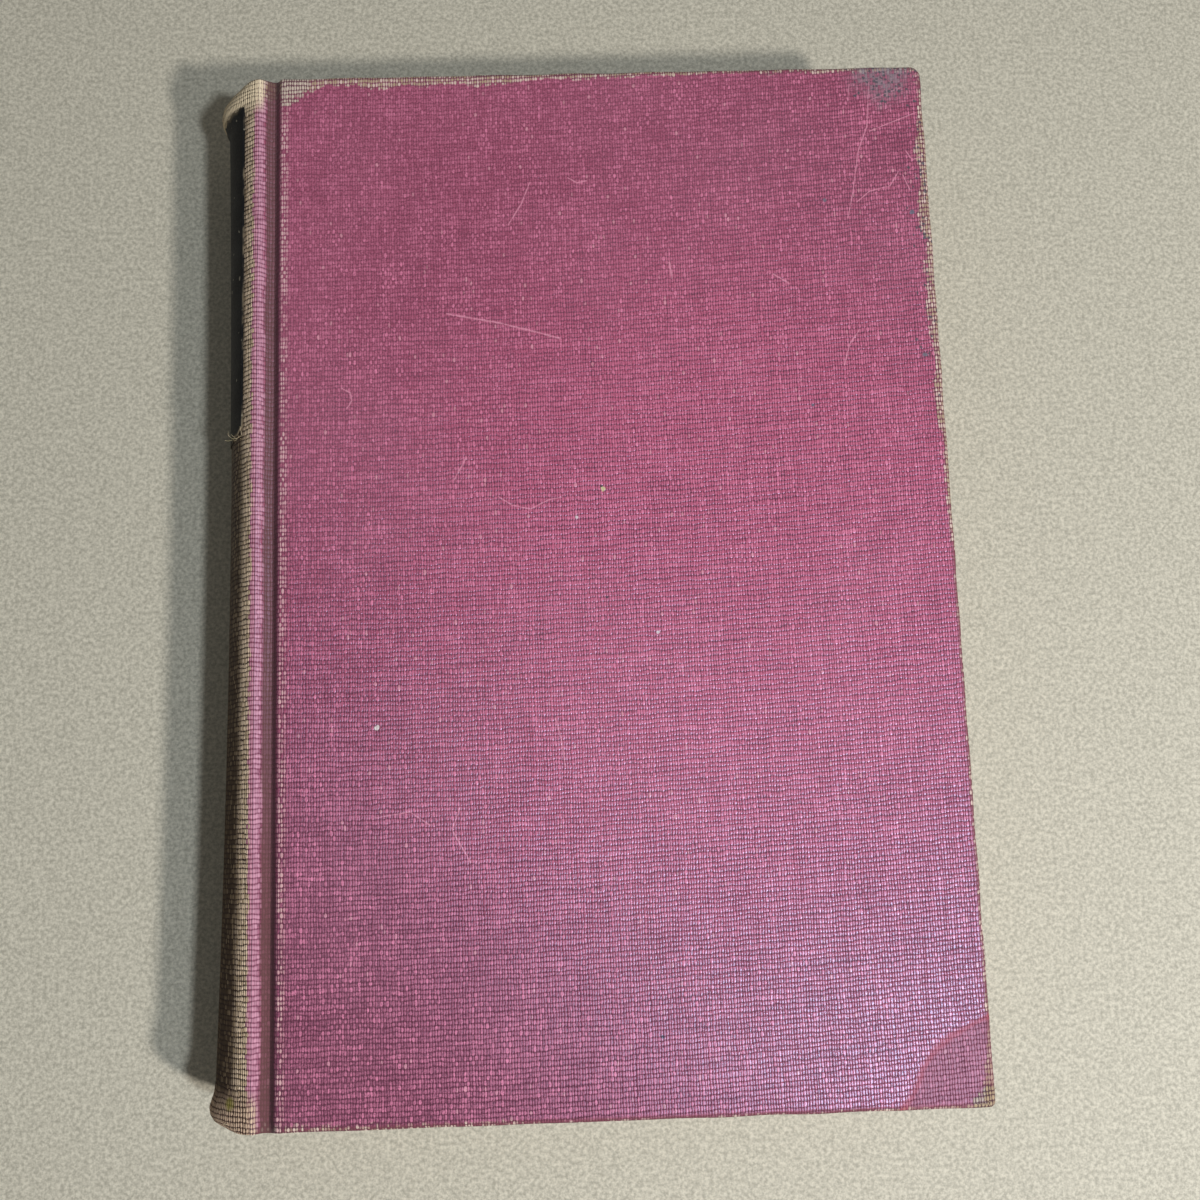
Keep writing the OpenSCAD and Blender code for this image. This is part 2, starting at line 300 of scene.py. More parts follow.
def cover_face_point(i, j, row, face_x):
    if i < len(JOINT):
        x, depth, fold, change = JOINT[i]
        inset = column_edge(fold, change)[0, 0]
        return [x, row * (HALF_H - inset) / (HALF_H - EDGE_R), depth]
    i -= len(JOINT)
    if i < len(face_x):
        shift = (fore_radius(HALF_H) - fore_radius(row)) * max(0.0, i / len(face_x) - 0.9)
        return [face_x[i] + shift, row, 0.0]
    a = (i - len(face_x) + 1) / CORNER_STEPS
    corner = corner_at(j)
    if corner is None:
        r = fore_radius(row)
        return [FORE_X - r + (r - EDGE_R) * a, row, 0.0]
    r, side, b = corner
    across, along = corner_disc(a, b)
    return [FORE_X - r + (r - EDGE_R) * across, side * (HALF_H - r + (r - EDGE_R) * along), 0.0]


def cloth_place(i, point):
    if i < len(JOINT):
        return [BOARD_X - JOINT_R[i], point[1], JOINT_R[i]]
    return [point[0], point[1], 0.0]


def cover_rim_point(i, j, k, columns, rim, place):
    """Point k of the edge's section at one point of the grid's rim."""
    corner = corner_at(j)
    in_corner = corner is not None and i >= columns - 1 - CORNER_STEPS
    side = 1 if rim[1] > 0 else -1
    section = column_edge(*JOINT[i][2:]) if i < len(JOINT) else BOARD_EDGE
    inset, depth = section[k]
    arc = edge_lengths(section)[k]
    base = JOINT[i][1] if i < len(JOINT) else 0.0
    if in_corner:
        r, side, b = corner
        a = (i - columns + 1 + CORNER_STEPS) / CORNER_STEPS
        dx, dy = corner_disc(a, b)
        size = math.hypot(dx, dy)
        dx, dy = dx / size, dy / size
        keep = max(r - inset, CORNER_KEEP)
        far = max(r, inset)
        spare = CORNER_KEEP if inset > r - CORNER_KEEP else 0.0
        x = FORE_X - far - spare + keep * dx
        y = side * (HALF_H - far - spare + keep * dy)
        return [x, y, depth], [place[0] + arc * dx, place[1] + side * arc * dy, 0.0]
    if i == columns - 1:
        shrink = (HALF_H - inset) / (HALF_H - EDGE_R) if inset > STRAY_INSET else 1.0
        x = FORE_X - inset + (stray(rim[1], 0.0) if inset < STRAY_INSET else 0.0)
        return [x, rim[1] * shrink, depth], [place[0] + arc, rim[1] * shrink, 0.0]
    reach_x = FORE_X - EDGE_R - BOARD_X
    shrink = (reach_x - inset + EDGE_R) / reach_x if inset > STRAY_INSET and i >= len(JOINT) else 1.0
    x = BOARD_X + (rim[0] - BOARD_X) * shrink if i >= len(JOINT) else rim[0]
    y = side * (HALF_H - inset + (stray(rim[0], side) if 0 < k < STRAY_STEPS else 0.0))
    return [x, y, base + depth], [place[0] + x - rim[0], place[1] + side * arc, place[2]]


# Meshes

# Cloth is drawn a little thinner than it is, so that its inner face stays clear of the board
DRAWN_CLOTH_T = CLOTH_T * 0.9


def make_piece(name, points, faces, material, cloth=None):
    """Smooth mesh object at the origin, from points in millimetres, with its place on the cloth."""
    mesh = bpy.data.meshes.new(name)
    mesh.from_pydata((np.asarray(points) * MM).tolist(), [], [list(f) for f in faces])
    mesh.polygons.foreach_set("use_smooth", [True] * len(mesh.polygons))
    if cloth is not None:
        attribute = mesh.attributes.new("cloth", "FLOAT_VECTOR", "POINT")
        attribute.data.foreach_set("vector", np.asarray(cloth, np.float32).ravel())
    mesh.materials.append(material)
    mesh.update()
    piece = bpy.data.objects.new(name, mesh)
    bpy.context.scene.collection.objects.link(piece)
    return piece


def grid_faces(columns, rows):
    return [(c * rows + k, c * rows + k + 1, (c + 1) * rows + k + 1, (c + 1) * rows + k)
            for c in range(columns - 1) for k in range(rows - 1)]


def thicken(piece, thickness, offset=-1.0):
    wall = piece.modifiers.new("Thickness", "SOLIDIFY")
    wall.thickness = thickness * MM
    wall.offset = offset


def book_points(points, side):
    """Points with depth under the outer face of one side, in the book's frame."""
    p = np.array(points, float)
    p[:, 2] = MID_Z + side * (MID_Z - p[:, 2])
    return p


def add_cover_cloth(name, side, node, material):
    """Cloth of one cover, with its joint as far as the ridge's crest, bent across the joint."""
    points, cloth, faces = cover_cloth_points()
    if side < 0:
        faces = [f[::-1] for f in faces]
    piece = make_piece(name, book_points(points, side), faces, material, cloth)
    thicken(piece, DRAWN_CLOTH_T)
    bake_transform(piece)
    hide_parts(node)


# Spine

SPINE_HALF = [(1, t) for t in np.linspace(0, 1, 6)] + [(2, t) for t in np.linspace(0, 1, 17)[1:]]


def spine_columns():
    return [(p, t, 1) for p, t in SPINE_HALF] + [(p, t, -1) for p, t in SPINE_HALF[-2::-1]]


def spine_lengths(columns):
    """Distance of each column from the front crest, round the waist."""
    at = np.array([spine_point(p, t, s, np.array(WAIST_Y), 0.0) for p, t, s in columns])
    return np.concatenate([[0.0], np.cumsum(np.linalg.norm(np.diff(at, axis=0), axis=1))])


def roll_of(part, t):
    return float(smooth(2 * t)) if part == 2 else 0.0


def add_spine_cloth(material):
    columns = spine_columns()
    lengths = spine_lengths(columns)
    rows = ROWS * CAP_Y / (HALF_H - EDGE_R)
    points, cloth = [], []
    for (part, t, side), length in zip(columns, lengths):
        section = spine_edge(roll_of(part, t))
        arc = edge_lengths(section)
        tail = [(-(HALF_H - g), d, -(CAP_Y + a)) for (g, d), a in zip(section, arc)][:0:-1]
        head = [(HALF_H - g, d, CAP_Y + a) for (g, d), a in zip(section, arc)][1:]
        line = np.array(tail + [(y, 0.0, y) for y in rows] + head)
        points.append(spine_point(part, t, side, line[:, 0], line[:, 1]))
        r = CREST_R + min(length, lengths[-1] - length)
        cloth.append(np.stack([np.full(len(line), BOARD_X - CREST_R - length), line[:, 2],
                               np.full(len(line), r)], -1))
    faces = grid_faces(len(columns), len(points[0]))
    piece = make_piece("spine_cloth_sheet", np.concatenate(points), faces, material, np.concatenate(cloth))
    thicken(piece, DRAWN_CLOTH_T)
    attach(piece, "text_block")
    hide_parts("spine_cloth")


LABEL_TAIL_Y = 28.6
LABEL_HEAD_Y = 96.4


def add_label(material):
    """Bare panel on the upper back of the spine, with a worn and torn outline."""
    radius, half = back_circle(np.array(WAIST_Y))[1:]
    first = LABEL_MARGIN / float(radius * half)
    steps = np.linspace(first, 1, 13)
    columns = [(t, 1) for t in steps] + [(t, -1) for t in steps[-2::-1]]
    rows = np.concatenate([[0.0, 0.012, 0.03], np.linspace(0.05, 0.96, 40), [0.98, 1.0]])
    points, cloth = [], []
    for c, (t, side) in enumerate(columns):
        torn = 0.5 * math.sin(1.9 * c) + 0.35 * math.sin(4.3 * c + 1) + 0.9 * math.sin(0.37 * c + 2.2)
        low = LABEL_TAIL_Y + torn
        high = LABEL_HEAD_Y + 0.2 * math.sin(2.3 * c)
        y = low + (high - low) * rows
        edge = np.zeros_like(y)
        if c in (0, len(columns) - 1):
            edge = 0.0015 * np.sin(1.7 * y) + 0.001 * np.sin(4.1 * y + 1)
        points.append(np.array([spine_point(2, t + e, side, np.array(v), -PASTE - LABEL_T)
                                for v, e in zip(y, edge)]))
        cloth.append(np.stack([np.full(len(y), c / (len(columns) - 1)), y, rows], -1))
    faces = grid_faces(len(columns), len(rows))
    piece = make_piece("spine_label_panel", np.concatenate(points), faces, material, np.concatenate(cloth))
    thicken(piece, LABEL_T)
    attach(piece, "text_block")
    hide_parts("spine_label")


# Endpapers

LEAF_DEPTH = 3.9
PASTED_DEPTH = 3.4
BEND_FROM = 3.8
BEND_TO = 3.5
PAPER_T = 0.16
FOLD_STEPS = 30
PASTED_HALF = HALF_H - PASTEDOWN_INSET
# Where the paper steps down from the turn-ins, as a share of its half height
STEP_Y = TURN_Y / PASTED_HALF
STEP_SLOPE = [0.0, 0.35, 0.7, 1.0]


def endpaper_rows():
    """Heights on the paper, from -1 to 1, closer where it steps down from the turn-ins."""
    tail = np.linspace(-1, -STEP_Y - 0.004, 8)
    head = np.linspace(STEP_Y + 0.004, 1, 8)
    down = [-STEP_Y + 0.01 * s for s in STEP_SLOPE]
    up = [STEP_Y - 0.01 * s for s in STEP_SLOPE[::-1]]
    return np.concatenate([tail, down, np.linspace(-0.85, 0.85, 40), up, head])


def add_endpaper(name, side, nodes, material):
    """One folded sheet: the free leaf on the pages, the fold in the gutter and the half pasted on the
    board, which shows the turn-ins under it."""
    fold_x = CREASE_X - SHOULDER_GAP
    leaf = [(x, LEAF_DEPTH) for x in np.linspace(TEXT_FORE_X, fold_x, 40)]
    fold = [(fold_x, d) for d in np.linspace(LEAF_DEPTH, PASTED_DEPTH, FOLD_STEPS + 2)[1:-1]]
    window_x = FORE_X - TURN_IN
    pasted_x = list(np.linspace(fold_x, window_x - 1.2, 40)) + [window_x - 1.0 + s for s in STEP_SLOPE]
    pasted_x += list(np.linspace(window_x + 0.4, FORE_X - PASTEDOWN_INSET, 8))
    path = leaf + fold + [(x, PASTED_DEPTH) for x in pasted_x]
    rows = endpaper_rows()
    points, cloth = [], []
    for k, (x, depth) in enumerate(path):
        pasted = k >= len(leaf) + len(fold)
        half = PASTED_HALF if pasted else TEXT_H / 2
        for row in rows:
            y = row * half
            sunk = 0.0
            if pasted:
                sunk = CLOTH_T * float(smooth(window_x - x)) * float(smooth(TURN_Y - abs(y)))
                sunk *= float(smooth((x - BOARD_X) / 1.5))
            points.append([x, y, depth - sunk])
            cloth.append([x, y, 1.0 if pasted else 0.0])
    faces = grid_faces(len(path), len(rows))
    if side < 0:
        faces = [f[::-1] for f in faces]
    piece = make_piece(name, book_points(points, side), faces, material, cloth)
    thicken(piece, PAPER_T, 0.0)
    low = book_points([[0, 0, BEND_FROM]], side)[0] * MM
    high = book_points([[0, 0, BEND_TO]], side)[0] * MM
    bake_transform(piece)
    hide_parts(*nodes)


# Geometry Nodes

class Tree:
    """Short hand for building one node tree."""

    def __init__(self, tree):
        self.tree = tree

    def node(self, kind, *inputs, **settings):
        made = self.tree.nodes.new(kind)
        for key, value in settings.items():
            setattr(made, key, value)
        for socket, value in zip(made.inputs, inputs):
            self.put(socket, value)
        return made

    def put(self, socket, value):
        if value is None:
            return
        if isinstance(value, bpy.types.NodeSocket):
            self.tree.links.new(value, socket)
        elif hasattr(value, "outputs"):
            self.tree.links.new(value.outputs[0], socket)
        else:
            socket.default_value = value

    def math(self, operation, a, b=None, c=None, clamp=False):
        return self.node("ShaderNodeMath", a, b, c, operation=operation, use_clamp=clamp).outputs[0]

    def add(self, a, b):
        return self.math("ADD", a, b)

    def sub(self, a, b):
        return self.math("SUBTRACT", a, b)

    def mul(self, a, b):
        return self.math("MULTIPLY", a, b)

    def div(self, a, b):
        return self.math("DIVIDE", a, b)

    def vector(self, x, y, z=0.0):
        return self.node("ShaderNodeCombineXYZ", x, y, z).outputs[0]

    def split(self, vector):
        return self.node("ShaderNodeSeparateXYZ", vector).outputs

    def noise(self, at, scale, detail, out=0):
        return self.node("ShaderNodeTexNoise", at, None, scale, detail).outputs[out]

    def between(self, operation, a, b):
        return self.node("ShaderNodeVectorMath", a, b, operation=operation).outputs[0]

    def distance(self, a, b):
        return self.node("ShaderNodeVectorMath", a, b, operation="DISTANCE").outputs["Value"]

    def dot(self, a, b):
        return self.node("ShaderNodeVectorMath", a, b, operation="DOT_PRODUCT").outputs["Value"]

    def object_coords(self):
        return self.node("ShaderNodeTexCoord").outputs["Object"]

    def cloth_coords(self):
        return self.node("ShaderNodeAttribute", attribute_name="cloth").outputs["Vector"]

    def ramp(self, value, low, high, to_low=0.0, to_high=1.0):
        made = self.node("ShaderNodeMapRange", value, low, high, to_low, to_high)
        made.interpolation_type = "SMOOTHSTEP"
        return made.outputs[0]


def new_group(name, kind, inputs, outputs):
    """Node group with named sockets: inputs are (name, socket type, value), outputs (name, socket type)."""
    group = bpy.data.node_groups.new(name, kind)
    for label, socket, value in inputs:
        made = group.interface.new_socket(name=label, in_out="INPUT", socket_type="NodeSocket" + socket)
        if value is not None:
            made.default_value = value
    for label, socket in outputs:
        group.interface.new_socket(name=label, in_out="OUTPUT", socket_type="NodeSocket" + socket)
    tree = Tree(group)
    return group, tree, tree.node("NodeGroupInput").outputs, tree.node("NodeGroupOutput").inputs


def run_geometry(name, group, values, material, body):
    """Plain mesh from a Geometry Nodes tree, riding on a body."""
    holder = bpy.data.objects.new(name + "_maker", bpy.data.meshes.new(name + "_maker"))
    bpy.context.scene.collection.objects.link(holder)
    modifier = holder.modifiers.new("Maker", "NODES")
    modifier.node_group = group
    for item in group.interface.items_tree:
        if item.in_out == "INPUT" and item.name in values:
            modifier[item.identifier] = values[item.name]
        if item.in_out == "INPUT" and item.name == "Material":
            modifier[item.identifier] = material
    graph = bpy.context.evaluated_depsgraph_get()
    mesh = bpy.data.meshes.new_from_object(holder.evaluated_get(graph), depsgraph=graph)
    holder.modifiers.remove(modifier)
    bpy.data.objects.remove(holder)
    mesh.name = name
    piece = bpy.data.objects.new(name, mesh)
    bpy.context.scene.collection.objects.link(piece)
    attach(piece, body)
    return piece


def leaves_group():
    """Leaves of the pages: each is a thin slab from the round back to the hollow fore edge, and fans out
    over the shoulder. Lengths in metres."""
    inputs = [("Geometry", "Geometry", None), ("Leaves", "Int", 110), ("Pitch", "Float", 0.0002),
              ("Share", "Float", 0.86), ("Height", "Float", 0.197), ("Middle", "Float", 0.015),
              ("Back X", "Float", 0.0), ("Back Radius", "Float", 0.017), ("Fan", "Float", 1.167),
              ("Bend X", "Float", 0.0), ("Bend Run", "Float", 0.0018), ("Fore X", "Float", 0.0),
              ("Fore Radius", "Float", 0.02), ("Trim", "Float", 0.0002), ("Seed", "Int", 5),
              ("Material", "Material", None)]
    group, t, i, o = new_group("Leaves", "GeometryNodeTree", inputs, [("Geometry", "Geometry")])
    slab = t.node("GeometryNodeMeshCube", (1.0, 1.0, 1.0), 9, 2, 2)
    local = t.node("GeometryNodeStoreNamedAttribute", slab.outputs[0], None, "local",
                   data_type="FLOAT_VECTOR", domain="POINT")
    t.put(local.inputs["Value"], t.node("GeometryNodeInputPosition"))
    line = t.node("GeometryNodeMeshLine", i["Leaves"])
    number = t.node("GeometryNodeStoreNamedAttribute", line, None, "leaf",
                    data_type="FLOAT", domain="POINT")
    t.put(number.inputs["Value"], t.node("GeometryNodeInputIndex"))
    spread = t.node("GeometryNodeInstanceOnPoints", number, None, local)
    real = t.node("GeometryNodeRealizeInstances", spread)
    at = t.split(t.node("GeometryNodeInputNamedAttribute", "local", data_type="FLOAT_VECTOR").outputs[0])
    leaf = t.node("GeometryNodeInputNamedAttribute", "leaf", data_type="FLOAT").outputs[0]
    middle = t.mul(t.sub(i["Leaves"], 1.0), 0.5)
    slot = t.add(t.sub(leaf, middle), t.mul(at[2], i["Share"]))
    h = t.mul(slot, i["Pitch"])
    trim = [random_per_leaf(t, leaf, i["Seed"], k, i["Trim"]) for k in range(3)]
    back = circle_side(t, i["Back X"], i["Back Radius"], t.mul(h, i["Fan"]))
    fore = t.sub(circle_side(t, i["Fore X"], i["Fore Radius"], h), trim[0])
    share = t.math("POWER", t.add(at[0], 0.5), 3.0)
    x = t.add(back, t.mul(t.sub(fore, back), share))
    bend = t.ramp(t.div(t.sub(i["Bend X"], x), i["Bend Run"]), 0.0, 1.0)
    z = t.mul(h, t.add(1.0, t.mul(bend, t.sub(i["Fan"], 1.0))))
    length = t.sub(i["Height"], t.add(trim[1], trim[2]))
    y = t.add(t.mul(at[1], length), t.mul(t.sub(trim[1], trim[2]), 0.5))
    place = t.vector(x, y, t.add(z, i["Middle"]))
    moved = t.node("GeometryNodeSetPosition", real, None, place)
    t.put(o[0], t.node("GeometryNodeSetMaterial", moved, None, i["Material"]))
    return group


def random_per_leaf(t, leaf, seed, turn, size):
    """How much of a leaf is cut short: a little by itself, and a little with its gathering."""
    own = t.node("ShaderNodeTexWhiteNoise", None, t.add(t.add(leaf, t.mul(seed, 31.7)), turn * 7.3),
                 noise_dimensions="1D").outputs[0]
    gathering = t.math("FLOOR", t.div(leaf, 8.0))
    shared = t.node("ShaderNodeTexWhiteNoise", None, t.add(t.add(gathering, t.mul(seed, 17.1)), turn * 3.9),
                    noise_dimensions="1D").outputs[0]
    return t.mul(t.add(t.mul(own, 0.6), t.mul(shared, 0.4)), size)


def circle_side(t, centre, radius, height):
    """The lower side in x of a circle at a height off its middle."""
    inside = t.sub(t.mul(radius, radius), t.mul(height, height))
    return t.sub(centre, t.math("SQRT", inside))


LEAF_COUNT = 110
LEAF_SHARE = 0.88
LEAF_TRIM = 0.22
SHOULDER_RUN = 1.8


def add_pages(material):
    text_half = MID_Z - TEXT_Z
    fore_r = (text_half**2 + FORE_HOLLOW**2) / (2 * FORE_HOLLOW)
    centre = back_circle(np.array(WAIST_Y))[0]
    values = {"Leaves": LEAF_COUNT, "Pitch": 2 * text_half / LEAF_COUNT * MM, "Share": LEAF_SHARE,
              "Height": TEXT_H * MM, "Middle": MID_Z * MM, "Back X": float(CREASE_X - centre) * MM,
              "Back Radius": TEXT_R * MM, "Fan": TIP_H / text_half, "Bend X": (CREASE_X - SHOULDER_GAP) * MM,
              "Bend Run": SHOULDER_RUN * MM, "Fore X": (TEXT_FORE_X - FORE_HOLLOW + fore_r) * MM,
              "Fore Radius": fore_r * MM, "Trim": LEAF_TRIM * MM, "Seed": 5}
    piece = run_geometry("pages", leaves_group(), values, material, "text_block")
    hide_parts("text_block")


def wraps_group():
    """Thread wound round a bead that follows an arc. Lengths in metres."""
    inputs = [("Geometry", "Geometry", None), ("Wraps", "Int", 58), ("Path Radius", "Float", 0.0164),
              ("Sweep", "Float", 1.68), ("Bead Radius", "Float", 0.0008),
              ("Thread Radius", "Float", 0.00022), ("Centre", "Vector", (0.0, 0.0, 0.0)),
              ("Material", "Material", None)]
    group, t, i, o = new_group("Thread wraps", "GeometryNodeTree", inputs, [("Geometry", "Geometry")])
    start = t.sub(math.pi, t.mul(i["Sweep"], 0.5))
    arc = t.node("GeometryNodeCurveArc", i["Wraps"], None, None, None, i["Path Radius"], start, i["Sweep"])
    loop = t.node("GeometryNodeCurvePrimitiveCircle", 12)
    t.put(loop.inputs["Radius"], i["Bead Radius"])
    thread = t.node("GeometryNodeCurvePrimitiveCircle", 5)
    t.put(thread.inputs["Radius"], i["Thread Radius"])
    ring = t.node("GeometryNodeCurveToMesh", loop, thread)
    turned = t.node("FunctionNodeAlignRotationToVector", axis="Z")
    points = t.node("GeometryNodeCurveToPoints", arc, i["Wraps"])
    points.mode = "COUNT"
    stripe = t.node("GeometryNodeStoreNamedAttribute", points.outputs["Points"], None, "stripe",
                    data_type="FLOAT", domain="POINT")
    t.put(stripe.inputs["Value"], t.math("FLOOR", t.div(t.node("GeometryNodeInputIndex").outputs[0], 3.0)))
    t.put(turned.inputs["Vector"], points.outputs["Tangent"])
    spread = t.node("GeometryNodeInstanceOnPoints", stripe, None, ring)
    t.put(spread.inputs["Rotation"], turned)
    flat = t.node("GeometryNodeRealizeInstances", spread)
    upright = t.node("GeometryNodeTransform", flat)
    t.put(upright.inputs["Rotation"], (math.pi / 2, 0.0, 0.0))
    t.put(upright.inputs["Translation"], i["Centre"])
    t.put(o[0], t.node("GeometryNodeSetMaterial", upright, None, i["Material"]))
    return group


WRAP_COUNT = 64
WRAP_BEAD_R = 0.74
WRAP_THREAD_R = 0.2
# The wraps end just short of the bead's own ends
BAND_OUTER_R = BAND_PATH_R + BAND_R
WRAP_SWEEP = 2 * math.asin(TIP_H / BAND_OUTER_R) - 0.06


def add_bands(material):
    """Thread wound over the bead of each band."""
    group = wraps_group()
    centre = float(CREASE_X - back_circle(np.array(WAIST_Y))[0])
    for name, side in (("head_band_wraps", 1), ("tail_band_wraps", -1)):
        y = side * (TEXT_H / 2 + PASTE + BAND_R)
        values = {"Wraps": WRAP_COUNT, "Path Radius": BAND_PATH_R * MM, "Sweep": WRAP_SWEEP,
                  "Bead Radius": WRAP_BEAD_R * MM, "Thread Radius": WRAP_THREAD_R * MM,
                  "Centre": (centre * MM, y * MM, MID_Z * MM)}
        piece = run_geometry(name, group, values, material, "text_block")


def threads_group():
    """Loose threads: thin bent tubes, scattered along a line and turned at random. Lengths in metres."""
    inputs = [("Geometry", "Geometry", None), ("Count", "Int", 12), ("From", "Vector", (0.0, 0.0, 0.0)),
              ("To", "Vector", (0.0, 0.0, 0.0)), ("Length", "Float", 0.002), ("Radius", "Float", 0.00005),
              ("Lean", "Vector", (0.0, 0.0, 0.0)), ("Spread", "Float", 0.9), ("Seed", "Int", 1),
              ("Material", "Material", None)]
    group, t, i, o = new_group("Loose threads", "GeometryNodeTree", inputs, [("Geometry", "Geometry")])
    bent = t.node("GeometryNodeCurveQuadraticBezier", 6, (0.0, 0.0, 0.0), (0.1, 0.0, 0.55),
                  (0.55, 0.1, 0.85))
    ring = t.node("GeometryNodeCurvePrimitiveCircle", 5)
    t.put(ring.inputs["Radius"], t.div(i["Radius"], i["Length"]))
    tube = t.node("GeometryNodeCurveToMesh", bent, ring, True)
    line = t.node("GeometryNodeMeshLine", i["Count"], None, i["From"], mode="END_POINTS")
    t.put(line.inputs["Offset"], i["To"])
    spread = t.node("GeometryNodeInstanceOnPoints", line, None, tube)
    turn = t.node("FunctionNodeRandomValue", data_type="FLOAT_VECTOR")
    swing = t.vector(i["Spread"], i["Spread"], 3.0)
    t.put(turn.inputs["Min"], t.between("SUBTRACT", i["Lean"], swing))
    t.put(turn.inputs["Max"], t.between("ADD", i["Lean"], swing))
    t.put(turn.inputs["Seed"], i["Seed"])
    t.put(spread.inputs["Rotation"], turn.outputs[0])
    size = t.node("FunctionNodeRandomValue", data_type="FLOAT")
    t.put(size.inputs[2], t.mul(i["Length"], 0.5))
    t.put(size.inputs[3], t.mul(i["Length"], 1.25))
    t.put(size.inputs["Seed"], t.add(i["Seed"], 7.0))
    t.put(spread.inputs["Scale"], size.outputs[1])
    flat = t.node("GeometryNodeRealizeInstances", spread)
    t.put(o[0], t.node("GeometryNodeSetMaterial", flat, None, i["Material"]))
    return group


FRAY_R = 0.045


def on_back(t, y, depth):
    """Point on the front half of the spine's back, in metres."""
    return spine_point(2, t, 1, np.array([y]), depth)[0] * MM


def beside(point, *steps):
    """Point that lies a few millimetres from another."""
    return point + np.array(steps) * MM


def add_loose_threads(material):
    """Frayed threads at the label's torn end, on both caps and on the lower fore corner."""
    group = threads_group()
    fronts = on_back(0.16, LABEL_TAIL_Y - 0.6, -0.2)
    middle = on_back(0.62, LABEL_TAIL_Y + 0.4, -0.2)
    tail = on_back(0.25, -HALF_H + 1.2, 0.6)
    head = on_back(0.3, HALF_H - 1.2, 0.6)
    corner = np.array([FORE_X, -HALF_H, BOOK_T - 1.2]) * MM
    # Name, first and last root, count, length, lean, spread, seed and body
    frays = [
        ("label_threads", fronts, middle, 12, 2.2, (0.0, -0.9, 0.0), 0.8, 3, "text_block"),
        ("tail_cap_threads", tail, beside(tail, -2.4, 0.0, -4.5), 10, 1.1, (1.4, 0.0, 0.0), 0.6, 5,
         "text_block"),
        ("head_cap_threads", head, beside(head, -2.0, 0.0, -4.0), 8, 0.9, (-1.4, 0.0, 0.0), 0.6, 9,
         "text_block"),
        ("corner_threads", beside(corner, -3.2, 0.3, 0.7), beside(corner, -0.4, 3.2, 0.7), 18, 0.9,
         (0.9, 0.9, 0.0), 0.7, 13, "front_cover"),
    ]
    for name, start, end, count, length, lean, spread, seed, body in frays:
        values = {"Count": count, "From": tuple(start), "To": tuple(end), "Length": length * MM,
                  "Radius": FRAY_R * MM, "Lean": lean, "Spread": spread, "Seed": seed}
        piece = run_geometry(name, group, values, material, body)


# Shader groups

# Average pitch of the cloth's threads, and how far they wander, in millimetres
WARP_PITCH = 0.508
WEFT_PITCH = 0.91
WANDER = 0.6


